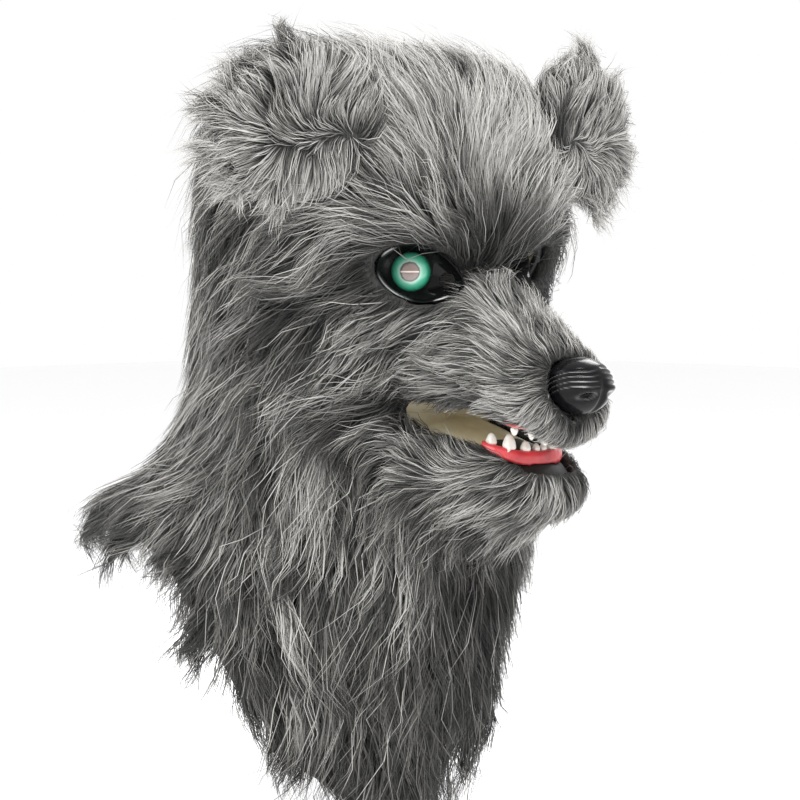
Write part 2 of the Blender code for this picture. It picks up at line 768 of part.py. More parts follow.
def arch_solid(name, path, thick, low_z, high_z, collection):
    """A horseshoe wall of even thickness between two height functions of Y."""
    full = [(-x, y) for x, y in path] + [(x, y) for x, y in reversed(path[:-1])]
    rings = []
    for i, (x, y) in enumerate(full):
        before, after = full[max(0, i - 1)], full[min(len(full) - 1, i + 1)]
        way = Vector((after[0] - before[0], after[1] - before[1], 0)).normalized()
        side = Vector((way.y, -way.x, 0)) * thick / 2
        place = Vector((x, y, 0))
        low, high = low_z(y), high_z(y)
        narrow = 0.62
        corners = ((1.0, low), (1.0, high - 0.35 * (high - low)), (narrow, high))
        ring = [place + side * s + Vector((0, 0, z)) for s, z in corners]
        ring += [place - side * s + Vector((0, 0, z)) for s, z in reversed(corners)]
        rings.append(ring)
    ends = [sum(ring, Vector()) / len(ring) for ring in (rings[0], rings[-1])]
    mesh, _ = ring_mesh(rings, *ends)
    return object_from(mesh, name, collection)


def along_path(path, share):
    """The place at a share of the length of a path."""
    points = [Vector((x, y, 0)) for x, y in path]
    lengths = [(b - a).length for a, b in zip(points, points[1:])]
    left = share * sum(lengths)
    for a, b, length in zip(points, points[1:], lengths):
        if left <= length:
            return a.lerp(b, left / length)
        left -= length
    return points[-1]


def tooth(name, place, radius, height, hand, collection):
    """A blunt tapering tooth that stands up, or hangs if its height is negative."""
    rise = 1 if height > 0 else -1
    rings = []
    for up, share in ((0.0, 1.0), (0.55, 0.80), (0.88, 0.42)):
        rings.append(
            [
                Vector((math.cos(a), math.sin(a), 0)) * radius * share
                + Vector((0, 0, abs(height) * up * rise))
                for a in (2 * math.pi * i / TOOTH_SIDES for i in range(TOOTH_SIDES))
            ]
        )
    mesh, _ = ring_mesh(rings, Vector((0, 0, 0)), Vector((0, 0, height)))
    mesh.transform(Matrix.Translation((place.x * hand, place.y, place.z)))
    return object_from(mesh, name, collection)


def dentures(name, under, mask, cutters):
    """A gum seated on the shell, the room it takes in the coat, and its teeth."""
    lower = name == "lower"
    if lower:
        table, length, half = JAW_SECTIONS, JAW_LENGTH, JAW_HALF_WIDTH
        back, front, teeth_table = LOWER_GUM_BACK, LOWER_GUM_FRONT, LOWER_TEETH
    else:
        table, length, half = MUZZLE_SECTIONS, MUZZLE_LENGTH, MUZZLE_HALF_WIDTH
        back, front, teeth_table = UPPER_GUM_BACK, UPPER_GUM_FRONT, UPPER_TEETH
    path = gum_path(back, front, table, length, half)

    def seat_z(y):
        return snout_side(table, length, half, "top" if lower else "bottom", -y)

    def edge_z(y):
        if not lower:
            return seat_z(y) - UPPER_GUM_HEIGHT
        share = (-y - back) / (front - back)
        return -LOWER_GUM_TOP_BACK - (LOWER_GUM_TOP_FRONT - LOWER_GUM_TOP_BACK) * share

    def root_z(y):
        return seat_z(y) + (-GUM_ROOT if lower else GUM_ROOT)

    whole = arch_solid(name + "_gum", path, GUM_THICK, root_z, edge_z, mask)
    room = grown_copy(whole, GUM_SEAM, name + "_gum_room", cutters)
    gum = cut(whole, [under])
    keep_largest(gum)
    teeth, number = [], 0
    for row in rows(TOOTH_COLUMNS, teeth_table):
        for hand in (1, -1):
            number += 1
            place = along_path(path, row["along"])
            rise = 1 if lower else -1
            place.z = edge_z(place.y) - rise * TOOTH_ROOT
            height = rise * (row["height"] + TOOTH_ROOT)
            made = tooth(f"{name}_tooth_{number}", place, row["radius"], height, hand, mask)
            made = cut(made, [room])
            keep_largest(made)
            teeth.append(made)
    return gum, room, teeth


def mouth_cutter(name, collection):
    """The space between palate and jaw floor, inside the lips and back to the wall."""
    rings = []
    for ahead in MOUTH_AHEAD:
        half = snout_side(MUZZLE_SECTIONS, MUZZLE_LENGTH, MUZZLE_HALF_WIDTH, "half", ahead)
        jaw = snout_side(JAW_SECTIONS, JAW_LENGTH, JAW_HALF_WIDTH, "half", ahead)
        top = snout_side(MUZZLE_SECTIONS, MUZZLE_LENGTH, 1, "bottom", ahead) + MOUTH_BITE
        low = snout_side(JAW_SECTIONS, JAW_LENGTH, 1, "top", ahead) - MOUTH_BITE
        half, jaw = half - LIP_THICK, jaw - JAW_LIP_THICK
        if ahead == MOUTH_AHEAD[0]:
            half, jaw = half + MOUTH_SPREAD, jaw + MOUTH_SPREAD
        corners = ((half, top), (half, (top + low) / 2), (jaw, low))
        ring = [Vector((x, -ahead, z)) for x, z in corners]
        ring += [Vector((-x, -ahead, z)) for x, z in reversed(corners)]
        rings.append(ring)
    ends = [sum(ring, Vector()) / len(ring) for ring in (rings[0], rings[-1])]
    mesh, _ = ring_mesh(rings, *ends)
    return object_from(mesh, name, collection)


def material(name, colour, roughness, metallic=0.0):
    made = bpy.data.materials.new(name)
    made.use_nodes = True
    shader = made.node_tree.nodes["Principled BSDF"]
    shader.inputs["Base Color"].default_value = (*colour, 1.0)
    shader.inputs["Roughness"].default_value = roughness
    shader.inputs["Metallic"].default_value = metallic
    return made


def finish(thing, finish_material, smooth=30.0):
    thing.data.materials.clear()
    thing.data.materials.append(finish_material)
    thing.data.shade_smooth()
    thing.data.set_sharp_from_angle(angle=math.radians(smooth))


FINISHES = {
    "fur": (FUR_GREY, 0.9),
    "ear": (FUR_GREY, 0.9),
    "face": (SHELL_TAN, 0.6),
    "jaw": (SHELL_TAN, 0.6),
    "hood": (BACKING_GREY, 0.9),
    "cup": (GLOSS_BLACK, 0.15),
    "iris": (EYE_GREEN, 0.1),
    "nose": (GLOSS_BLACK, 0.2),
    "gum": (GUM_RED, 0.35),
    "tooth": (TOOTH_WHITE, 0.3),
}


def paint(pieces):
    """Gives each piece a material of its own, by the first word that its name holds."""
    for piece in pieces:
        word = next(w for w in FINISHES if w in piece.name)
        colour, roughness = FINISHES[word]
        finish(piece, material(piece.name + "_finish", colour, roughness))


def clear_scene():
    for thing in list(bpy.data.objects):
        bpy.data.objects.remove(thing)
    for group in list(bpy.data.collections):
        bpy.data.collections.remove(group)


def new_collection(name):
    made = bpy.data.collections.new(name)
    bpy.context.scene.collection.children.link(made)
    return made


def layer_bodies(tag, hood_offsets, snout_offset, collection, below=0.0):
    """Hood, muzzle and jaw at one depth, joined into one closed body."""
    hood = hood_body(tag, hood_offsets, collection, below)
    muzzle = snout_body(
        tag + "_muzzle", MUZZLE_SECTIONS, MUZZLE_LENGTH, MUZZLE_HALF_WIDTH, snout_offset, collection
    )
    jaw = snout_body(
        tag + "_jaw", JAW_SECTIONS, JAW_LENGTH, JAW_HALF_WIDTH, snout_offset, collection
    )
    whole = joined(hood, [muzzle, jaw])
    bpy.data.objects.remove(muzzle)
    bpy.data.objects.remove(jaw)
    return whole


def mouth_box(name, low, high, above, grow, collection):
    """A box above or below the mouth's sloping middle plane, grown past it."""
    box = box_cutter(name, (*low, -1.0), (*high, 1.0), collection)
    for vertex in box.data.vertices:
        if (vertex.co.z < 0) == above:
            middle = MOUTH_SLOPE * vertex.co.y - MOUTH_DROP
            vertex.co.z = middle - grow if above else middle + grow
    return box


def region_cutters(tag, grow, cutters):
    """Closed bodies of the cape, muzzle and jaw regions, grown over their seams."""
    cape = box_cutter(tag + "_cape", (-FAR, -FAR, -FAR), (FAR, FAR, grow), cutters)
    slope = Matrix.Rotation(math.radians(CAPE_SEAM_TILT), 4, "X")
    cape.data.transform(Matrix.Translation((0, -CAPE_SEAM_AHEAD, -CAPE_SEAM_DROP)) @ slope)
    muzzle_back, jaw_back = -MUZZLE_SEAM_AHEAD + grow, -JAW_SEAM_AHEAD + grow
    muzzle = mouth_box(tag + "_muzzle", (-FAR, -FAR), (FAR, muzzle_back), True, grow, cutters)
    jaw = mouth_box(tag + "_jaw", (-FAR, -FAR), (FAR, jaw_back), False, grow, cutters)
    return cape, muzzle, jaw


def split(whole, name, keep, drop, collection):
    """The part of a body inside keep and outside each body of drop."""
    piece = copy_of(whole, name, collection)
    if keep:
        piece = cut(piece, [keep], "INTERSECT")
    if drop:
        piece = cut(piece, drop)
    keep_largest(piece)
    return piece


def coat_panels(coat, mask, cutters):
    """The coat sewn up from four panels, with a narrow seam between them."""
    cape, muzzle, jaw = region_cutters("inside", -SEAM / 2, cutters)
    wide_cape, wide_muzzle, wide_jaw = region_cutters("outside", SEAM / 2, cutters)
    return [
        split(coat, "fur_cape", cape, [], mask),
        split(coat, "fur_muzzle", muzzle, [wide_cape], mask),
        split(coat, "fur_jaw", jaw, [wide_cape], mask),
        split(coat, "fur_head", None, [wide_cape, wide_muzzle, wide_jaw], mask),
    ]


def wall_panels(wall, mask, cutters):
    """The hollow wall in three pieces: hard face and jaw, and the fabric behind them."""
    names, boxes = ("face_shell", "jaw_shell"), []
    for grow in (-SEAM / 2, SEAM / 2):
        face_back, jaw_back = -FACE_SEAM_AHEAD + grow, -JAW_SHELL_AHEAD + grow
        tag = f"region_{grow:+.5f}"
        face = mouth_box("face_" + tag, (-FAR, -FAR), (FAR, face_back), True, grow, cutters)
        jaw = mouth_box("jaw_" + tag, (-FAR, -FAR / 2), (FAR, jaw_back), False, grow, cutters)
        for vertex in jaw.data.vertices:
            if vertex.co.z < -FAR:
                vertex.co.z = -JAW_SHELL_DROP - grow
        boxes.append((face, jaw))
    panels = [split(wall, n, keep, [], mask) for n, keep in zip(names, boxes[0])]
    panels.append(split(wall, "hood_backing", None, list(boxes[1]), mask))
    return panels


def build():
    clear_scene()
    mask = new_collection("wolf_head_mask")
    cutters = new_collection("cutters")

    # The form that the coat is cut to, the hollow wall and its eye holes
    under = layer_bodies("under", level_offsets(SEAM), SEAM, cutters, below=CUTTER_DROP)
    wall = layer_bodies("wall", level_offsets(0.0), 0.0, cutters)
    hollow = layer_bodies("hollow", level_offsets(-WALL), -WALL, cutters, below=CUTTER_DROP)
    sockets = [
        almond_prism(f"socket_{hand}", hand, ROUND_SEAM, -SOCKET_IN, SOCKET_OUT, cutters)
        for hand in (1, -1)
    ]
    wall = cut(wall, [hollow] + sockets)

    # What sits on the wall and shows through the coat
    made = []
    coat_cutters = [under, mouth_cutter("mouth", cutters)] + sockets
    for side, hand in (("left", 1), ("right", -1)):
        ear = whole_ear("ear_" + side, hand, mask, cutters)
        ear = cut(ear, [under])
        keep_largest(ear)
        made.append(ear)
        coat_cutters.append(whole_ear("ear_room_" + side, hand, cutters, cutters, EAR_SEAM))
        cup = eye_cup("eye_cup_" + side, hand, mask, cutters)
        iris = eye_dome("eye_iris_" + side, hand, mask)
        iris = cut(iris, [grown_copy(cup, ROUND_SEAM, "cup_room", cutters)])
        keep_largest(iris)
        made += [cup, iris]
    nose = nose_body("nose", mask, cutters)
    nose = cut(nose, [under])
    keep_largest(nose)
    coat_cutters.append(nose_body("nose_room", cutters, cutters, ROUND_SEAM))
    made.append(nose)

    # Gums and teeth
    for jaw_name in ("lower", "upper"):
        gum, room, teeth = dentures(jaw_name, under, mask, cutters)
        coat_cutters.append(room)
        made += [gum] + teeth

    # The coat: the same form grown by the pile, with locks, less all of that
    coat = layer_bodies("coat", pile_offsets(), MUZZLE_PILE, cutters)
    coat = joined(coat, coat_locks(cutters))
    coat = cut(coat, coat_cutters)
    coat.hide_render = True
    made += coat_panels(coat, mask, cutters)
    made += wall_panels(wall, mask, cutters)

    paint(made)
    for cutter in cutters.objects:
        cutter.hide_render = True
        cutter.display_type = "WIRE"
    cutters.hide_render = True


build()
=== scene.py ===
# %% [markdown]
# # A grey wolf mask, dressed for its picture
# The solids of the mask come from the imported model. This file gives them their fur,
# eyes, nose, mouth and lining. The fur matters most: it is combed with a short table of
# guides, and a Geometry Nodes tree then grows nearly 140,000 strands from it.

import math

import bmesh
import bpy
import numpy as np
from mathutils import Matrix, Vector, noise
from mathutils.bvhtree import BVHTree


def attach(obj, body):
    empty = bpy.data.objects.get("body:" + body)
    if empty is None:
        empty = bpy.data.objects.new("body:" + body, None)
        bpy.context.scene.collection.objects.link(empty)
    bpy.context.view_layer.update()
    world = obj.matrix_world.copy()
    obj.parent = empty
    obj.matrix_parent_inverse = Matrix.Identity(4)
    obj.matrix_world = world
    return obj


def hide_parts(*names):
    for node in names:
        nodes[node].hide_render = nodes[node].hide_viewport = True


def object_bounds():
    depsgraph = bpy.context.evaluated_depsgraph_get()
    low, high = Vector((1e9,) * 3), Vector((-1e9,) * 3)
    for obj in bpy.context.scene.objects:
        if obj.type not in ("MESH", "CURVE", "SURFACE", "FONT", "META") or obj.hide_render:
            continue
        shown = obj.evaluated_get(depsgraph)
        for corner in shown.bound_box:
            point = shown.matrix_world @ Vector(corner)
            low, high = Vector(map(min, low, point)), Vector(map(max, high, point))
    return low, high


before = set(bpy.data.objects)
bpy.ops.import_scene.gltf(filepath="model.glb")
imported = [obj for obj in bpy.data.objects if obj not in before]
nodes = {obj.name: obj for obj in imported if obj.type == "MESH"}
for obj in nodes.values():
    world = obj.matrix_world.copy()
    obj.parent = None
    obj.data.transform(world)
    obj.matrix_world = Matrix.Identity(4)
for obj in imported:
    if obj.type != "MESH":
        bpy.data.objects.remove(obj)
cad_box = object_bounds()
print(f"{len(nodes)} solids loaded")

# %% [markdown]
# The camera stands at the height of the eyes, in front and to the mask's right, with a
# long lens, so the muzzle is hardly foreshortened. One millimetre across the view is
# 1.55 pixels of an image 800 pixels wide, which gives the focal length.

# %% Camera
VIEW_DISTANCE = 2.0
VIEW_WIDTH = 0.800 / 1.55
SENSOR = 36
VIEW_RISE = math.radians(3)
ahead = Vector((math.sqrt(0.5), math.sqrt(0.5), 0))
right = Vector((math.sqrt(0.5), -math.sqrt(0.5), 0))
look_at = right * 0.0103 + ahead * 0.0177 + Vector((0, 0, -0.1968))
lens = bpy.data.cameras.new("view")
lens.sensor_width = SENSOR
lens.lens = SENSOR * VIEW_DISTANCE / VIEW_WIDTH
camera = bpy.data.objects.new("view", lens)
away = -ahead * math.cos(VIEW_RISE) + Vector((0, 0, math.sin(VIEW_RISE)))
camera.location = look_at + away * VIEW_DISTANCE
camera.rotation_euler = (-away).to_track_quat("-Z", "Y").to_euler()
bpy.context.scene.collection.objects.link(camera)
bpy.context.scene.camera = camera
print("camera", [round(v, 3) for v in camera.location])

# %% [markdown]
# A product picture is lit softly from all round. A bright plain world fills the shadows,
# one large lamp above and in front models the fur, and a weaker one from the far side
# draws an edge. The floor is pale and has no pattern.

# %% Light and floor
def soft_lamp(name, at, size, watts):
    lamp = bpy.data.lights.new(name, "AREA")
    lamp.size = size
    lamp.energy = watts
    thing = bpy.data.objects.new(name, lamp)
    thing.location = at
    thing.rotation_euler = (Vector(at) - look_at).to_track_quat("Z", "Y").to_euler()
    bpy.context.scene.collection.objects.link(thing)


soft_lamp("key", (-0.5, -1.4, 2.0), 0.9, 75)
soft_lamp("side", (-1.8, 0.2, 0.7), 1.0, 12)
soft_lamp("rim", (1.5, 0.6, 1.2), 0.9, 22)
world = bpy.data.worlds.new("studio")
world.use_nodes = True
world.node_tree.nodes["Background"].inputs["Color"].default_value = (1, 1, 1, 1)
world.node_tree.nodes["Background"].inputs["Strength"].default_value = 1.0
bpy.context.scene.view_settings.view_transform = "Standard"
bpy.context.scene.world = world
floor_mesh = bpy.data.meshes.new("floor")
HAIR_PAST_HEM = 0.012
FLOOR_Z = cad_box[0][2] - HAIR_PAST_HEM
FLOOR_HALF = 6
SQUARE = ((-1, -1), (1, -1), (1, 1), (-1, 1))
corners = [(FLOOR_HALF * x, FLOOR_HALF * y, FLOOR_Z) for x, y in SQUARE]
floor_mesh.from_pydata(corners, [], [(0, 1, 2, 3)])
floor = bpy.data.objects.new("floor", floor_mesh)
bpy.context.scene.collection.objects.link(floor)
floor_look = bpy.data.materials.new("pale_floor")
floor_look.use_nodes = True
floor_shader = floor_look.node_tree.nodes["Principled BSDF"]
floor_shader.inputs["Base Color"].default_value = (0.95, 0.95, 0.955, 1)
floor_shader.inputs["Roughness"].default_value = 0.7
floor_mesh.materials.append(floor_look)
print("floor at", round(FLOOR_Z, 3))

# %% [markdown]
# Three helpers come back in every later cell. A solid's mesh arrives as loose triangles,
# so its copy is merged first. Every piece sits at the origin with its place in its mesh,
# moves with the one body, and takes over from the solids that it replaces.

# %% Helpers for pieces
def object_of(mesh, name, look=None, smooth=True):
    thing = bpy.data.objects.new(name, mesh)
    bpy.context.scene.collection.objects.link(thing)
    if look:
        paint(mesh, look)
    if smooth:
        mesh.shade_smooth()
    return thing


def paint(mesh, look):
    """Gives a mesh one finish and soft shading."""
    mesh.materials.clear()
    mesh.materials.append(look)
    mesh.shade_smooth()


def move_points(mesh, points):
    mesh.vertices.foreach_set("co", points.ravel().astype(np.float32))
    mesh.update()


def merged_copy(names, name):
    """One mesh of the named solids, with their corners joined."""
    whole = bmesh.new()
    for solid in names:
        whole.from_mesh(nodes[solid].data)
    bmesh.ops.remove_doubles(whole, verts=whole.verts, dist=0.00001)
    mesh = bpy.data.meshes.new(name)
    whole.to_mesh(mesh)
    whole.free()
    return mesh


def with_modifier(thing, kind, **settings):
    """Adds a modifier, bakes its result into the mesh and takes it away again."""
    modifier = thing.modifiers.new(kind.title(), kind)
    for key, value in settings.items():
        setattr(modifier, key, value)
    seen = thing.evaluated_get(bpy.context.evaluated_depsgraph_get())
    baked = bpy.data.meshes.new_from_object(seen)
    thing.modifiers.clear()
    thing.data = baked
    return thing


def hand_in(piece, slot, *replaced):
    """Gives a finished piece its body and hides the solids that it stands for. The slot is not
    used.
    """
    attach(piece, "root")
    if replaced:
        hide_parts(*replaced)
    print(f"{piece.name}: {len(piece.data.polygons)} faces")


def array_of(mesh):
    flat = np.empty(len(mesh.vertices) * 3, np.float32)
    mesh.vertices.foreach_get("co", flat)
    return flat.reshape(-1, 3).astype(float)


# %% [markdown]
# Every finish starts from a Principled shader whose constant values sit on its own
# sockets. Small helpers add nodes by their type and join them, so a material reads as a
# short list of what feeds what.

# %% Helpers for materials
def new_look(name, colour, roughness, **values):
    look = bpy.data.materials.new(name)
    look.use_nodes = True
    shader = look.node_tree.nodes["Principled BSDF"]
    shader.inputs["Base Color"].default_value = (*colour, 1)
    shader.inputs["Roughness"].default_value = roughness
    for key, value in values.items():
        shader.inputs[key.replace("_", " ")].default_value = value
    return look, look.node_tree, shader


def add(tree, kind, **settings):
    node = tree.nodes.new(kind)
    for key, value in settings.items():
        if key in node.bl_rna.properties:
            setattr(node, key, value)
        else:
            node.inputs[key.replace("_", " ")].default_value = value
    return node


def join(tree, source, target):
    """Joins an output to an input. Either may be given as (node, socket)."""
    out = source[0].outputs[source[1]] if isinstance(source, tuple) else source.outputs[0]
    into = target[0].inputs[target[1]] if isinstance(target, tuple) else target.inputs[0]
    tree.links.new(out, into)


def ramp(tree, stops, source=None):
    """A colour ramp from (place, colour) rows."""
    node = add(tree, "ShaderNodeValToRGB")
    band = node.color_ramp
    while len(band.elements) < len(stops):
        band.elements.new(0.5)
    for element, (place, colour) in zip(band.elements, stops):
        element.position = place
        element.color = (*colour, 1)
    if source:
        join(tree, source, (node, "Fac"))
    return node


def own_place(tree, target):
    """Feeds an input with the piece's own coordinates, so a pattern turns with the piece."""
    join(tree, (add(tree, "ShaderNodeTexCoord"), "Object"), target)


def less_than(tree, source, limit):
    """1 where a value is under the limit."""
    node = add(tree, "ShaderNodeMath", operation="LESS_THAN")
    join(tree, source, (node, 0))
    node.inputs[1].default_value = limit
    return node


def mix_into(tree, target, first, second, factor, **settings):
    """Joins a mix of two colours to an input. Each value is a socket or a constant."""
    node = add(tree, "ShaderNodeMix", data_type="RGBA", **settings)
    colours = [s for s in node.inputs if s.type == "RGBA"]
    amount = next(s for s in node.inputs if s.name == "Factor" and s.type == "VALUE")
    for socket, value in ((colours[0], first), (colours[1], second), (amount, factor)):
        if isinstance(value, bpy.types.NodeSocket):
            tree.links.new(value, socket)
        else:
            socket.default_value = value
    tree.links.new(next(s for s in node.outputs if s.type == "RGBA"), target)


def over_finish(look, colour, factor_of):
    """Lays a plain colour over a finish, by the factor that factor_of makes in its tree."""
    tree = look.node_tree
    shader = next(n for n in tree.nodes if n.type == "BSDF_PRINCIPLED")
    under = shader.inputs["Base Color"].links[0].from_socket
    mix_into(tree, shader.inputs["Base Color"], under, (*colour, 1), factor_of(tree))
    return look


def group_of(name, inputs, outputs):
    """An empty shader node group with float inputs and the named outputs."""
    tree = bpy.data.node_groups.new(name, "ShaderNodeTree")
    for label, value in inputs.items():
        kind = "NodeSocketVector" if label == "Vector" else "NodeSocketFloat"
        socket = tree.interface.new_socket(name=label, in_out="INPUT", socket_type=kind)
        if label != "Vector":
            socket.default_value = value
    for label, kind in outputs.items():
        tree.interface.new_socket(name=label, in_out="OUTPUT", socket_type=kind)
    return tree, tree.nodes.new("NodeGroupInput"), tree.nodes.new("NodeGroupOutput")


print("helpers ready")

# %% [markdown]
# The fake fur is a pile fabric: a fine knitted ground with dense short hairs, and long
# wavy hairs that hide it. From outside the ground is never bare, so it is made as one
# dark, streaky underlayer. The four panels are remeshed together, which closes their
# seams, the modelled locks are softened, and the skin is drawn in to a good half of the
# pile's depth, so that the strands have room to lie on it.

# %% Underlayer of the coat
COAT_VOXEL = 0.0050
LEAST_DEPTH = 0.003  # the underlayer stays this far outside the walls
PANELS = ("fur_head", "fur_cape", "fur_muzzle", "fur_jaw")
WALLS = ("hood_backing", "face_shell", "jaw_shell")
wall_mesh = merged_copy(WALLS, "walls")
wall_tree = BVHTree.FromPolygons(
    [v.co for v in wall_mesh.vertices], [tuple(p.vertices) for p in wall_mesh.polygons]
)
# Trimmed edges that stay where they are: place and half sizes, then how near counts.
EDGES = (
    (np.array([0.047, -0.079, -0.1145, 0.030, 0.030, 0.026]), 1.0, 1.6),
    (np.array([0.0, -0.165, -0.1815, 0.028, 0.026, 0.024]), 1.0, 1.5),
    (np.array([0.0, -0.110, -0.2107, 0.060, 0.060, 0.020]), 1.0, 1.5),
)


def neighbours_mean(points, edges):
    """The mean of each point's neighbours, for smoothing."""
    total, count = np.zeros_like(points), np.zeros(len(points))
    for a, b in ((0, 1), (1, 0)):
        np.add.at(total, edges[:, a], points[edges[:, b]])
        np.add.at(count, edges[:, a], 1)
    return total / np.maximum(count, 1)[:, None]


def edges_of(mesh):
    flat = np.empty(len(mesh.edges) * 2, np.int32)
    mesh.edges.foreach_get("vertices", flat)
    return flat.reshape(-1, 2)


def normals_of(mesh):
    flat = np.empty(len(mesh.vertices) * 3, np.float32)
    mesh.vertices.foreach_get("normal", flat)
    return flat.reshape(-1, 3).astype(float)


def wall_offsets(points):
    """For each point, the vector to it from the nearest place on the walls."""
    return np.array([Vector(p) - wall_tree.find_nearest(Vector(p))[0] for p in points])


coat = object_of(merged_copy(PANELS, "fur_underlayer"), "fur_underlayer")
with_modifier(coat, "REMESH", mode="VOXEL", voxel_size=COAT_VOXEL)
skin = array_of(coat.data)
offsets = wall_offsets(skin)
depth = np.linalg.norm(offsets, axis=1)
free = np.clip((depth - LEAST_DEPTH) / 0.004, 0, 1)
for trimmed_edge, held, loose in EDGES:
    one_side = np.abs(skin * [1, 0, 0]) + skin * [0, 1, 1]
    gap = np.linalg.norm((one_side - trimmed_edge[:3]) / trimmed_edge[3:], axis=1)
    free *= np.clip((gap - held) / (loose - held), 0.12, 1)
free = free[:, None]
edges = edges_of(coat.data)
for _ in range(5):
    skin += free * 0.6 * (neighbours_mean(skin, edges) - skin)
offsets = wall_offsets(skin)
depth = np.linalg.norm(offsets, axis=1)
# The share of each point that is on the back, and on the bib's far side.
behind = np.clip((skin[:, 1] - 0.02) / 0.04, 0, 1) * np.clip((skin[:, 2] + 0.30) / 0.06, 0, 1)
draw_in = np.clip(depth - LEAST_DEPTH, 0, None) * (0.38 + 0.30 * behind)
draw_in = np.minimum(draw_in, 0.008 + 0.006 * behind)
far_side = np.clip((skin[:, 0] - 0.02) / 0.03, 0, 1) * np.clip((-0.30 - skin[:, 2]) / 0.05, 0, 1)
draw_in += 0.7 * far_side * np.clip(depth - LEAST_DEPTH - draw_in, 0, None)
skin -= free * offsets / np.maximum(depth, 1e-6)[:, None] * draw_in[:, None]
move_points(coat.data, skin)
outward = normals_of(coat.data)
print("underlayer", len(skin), "points, depth", depth.max().round(4))

# %% [markdown]
# The comb table says which way the hair lies. Each row is a place on the mask, the
# direction of the hair there, its length in millimetres, how far it stands off the skin
# and how light it is. On the brow that lightness is partly painted light, for the light
# that falls on the top of the head. Any point takes a blend of the rows near it. The rows
# are for the wearer's left side, and the right side mirrors them. Real fake fur is never
# combed that evenly, so slow noise turns the hair a little and makes light and dark patches.

# %% Comb table
COMB = (
    # x, y, z, dx, dy, dz, length, stand, light
    (0, -176, -160, 0, 0.9, 0.5, 11, 0.30, 0.10),
    (22, -168, -175, 0.3, 1, 0.0, 11, 0.30, 0.10),
    (22, -155, -200, 0.2, 1, -0.3, 12, 0.30, 0.22),
    (0, -140, -140, 0, 0.9, 0.45, 17, 0.30, 0.00),
    (30, -130, -160, 0.25, 1, 0.1, 19, 0.28, 0.16),
    (36, -118, -192, 0.15, 1, -0.3, 21, 0.28, 0.16),
    (40, -95, -165, 0.4, 0.9, -0.1, 26, 0.28, -0.05),
    (0, -108, -120, 0, 0.5, 1, 28, 0.52, -0.05),
    (14, -98, -104, 0.35, 0.2, 1, 30, 0.55, -0.15),
    # Brow rows: their raised lightness is partly painted light, for the light that falls on the
    # top of the brow.
    (0, -94, -80, 0, 0.15, 1, 34, 0.34, 0.25),
    (26, -94, -84, 0.55, 0.0, 0.85, 34, 0.34, 0.22),
    (48, -88, -82, 0.85, 0.25, 0.55, 34, 0.34, 0.22),
    (72, -74, -86, 0.75, 0.7, 0.15, 38, 0.33, 0.15),
    (86, -58, -110, 0.35, 0.9, -0.35, 38, 0.34, 0.00),
    (74, -66, -138, 0.35, 0.7, -0.6, 32, 0.30, -0.10),
    (44, -90, -138, 0.7, 0.6, -0.3, 22, 0.26, 0.05),
    (54, -84, -160, 0.5, 0.8, -0.35, 30, 0.30, -0.10),
    (52, -84, -205, 0.3, 0.9, -0.35, 34, 0.32, 0.00),
    (44, -74, -221, 0.1, 0.6, 0.7, 17, 0.40, -0.05),
    (42, -98, -224, 0.1, 0.7, 0.5, 14, 0.40, 0.05),
    (80, -60, -190, 0.2, 0.8, -0.6, 44, 0.32, -0.20),
    (102, -30, -150, 0.1, 0.7, -0.75, 48, 0.25, -0.18),
    (102, -28, -90, 0.1, 0.75, -0.55, 44, 0.25, -0.15),
    # Forehead rows: their raised lightness is partly painted light, for the light from above.
    (0, -86, -50, 0, 0.2, 1, 40, 0.34, 0.50),
    (40, -80, -45, 0.3, 0.15, 0.95, 40, 0.34, 0.50),
    (0, -62, -5, 0, 0.65, 0.75, 42, 0.38, 0.25),
    (45, -55, -2, 0.25, 0.6, 0.75, 40, 0.38, 0.15),
    (0, 10, 18, 0, 1, 0.1, 46, 0.45, -0.05),
    (70, 5, 2, 0.45, 0.85, -0.1, 46, 0.43, -0.15),
    (108, 22, -60, 0.25, 0.5, -0.85, 48, 0.27, -0.10),
    (114, 22, -130, 0, 0.3, -1, 50, 0.25, 0.00),
    (0, 85, 0, 0, 0.8, -0.6, 48, 0.36, 0.00),
    (60, 85, -30, 0.3, 0.6, -0.8, 50, 0.27, -0.05),
    (0, 118, -110, 0, 0.2, -1, 52, 0.24, 0.05),
    (80, 85, -120, 0.15, 0.3, -1, 52, 0.25, 0.00),
    (0, 140, -220, 0, 0.4, -1, 54, 0.24, 0.00),
    (90, 95, -210, 0.15, 0.3, -1, 54, 0.25, 0.05),
    (116, 20, -215, 0.05, 0.12, -1, 54, 0.27, 0.00),
    (88, -50, -235, 0.0, 0.25, -1, 52, 0.30, -0.10),
    (36, -110, -245, 0.25, 0.9, -0.4, 22, 0.30, 0.10),
    (0, -146, -250, 0, -0.1, -1, 20, 0.34, 0.14),
    (22, -138, -245, 0.3, 0.5, -0.7, 19, 0.34, 0.08),
    (0, -112, -284, 0, 0.4, -0.8, 32, 0.40, 0.05),
    (45, -80, -262, 0.2, 0.6, -0.8, 40, 0.28, 0.00),
    (0, -72, -310, 0, -0.05, -1, 54, 0.30, -0.44),
    (60, -60, -310, 0.05, -0.05, -1, 56, 0.30, -0.26),
    (30, -85, -380, 0, -0.12, -1, 52, 0.28, -0.36),
    (60, -70, -440, 0.05, -0.05, -1, 46, 0.27, -0.34),
    (100, -20, -330, 0.1, 0.0, -1, 56, 0.27, -0.20),
    (125, 60, -310, 0.4, 0.3, -0.9, 58, 0.28, -0.12),
    (120, 130, -310, 0.5, 0.5, -0.8, 58, 0.28, -0.12),
    (0, 185, -320, 0, 0.5, -0.9, 56, 0.25, 0.00),
)
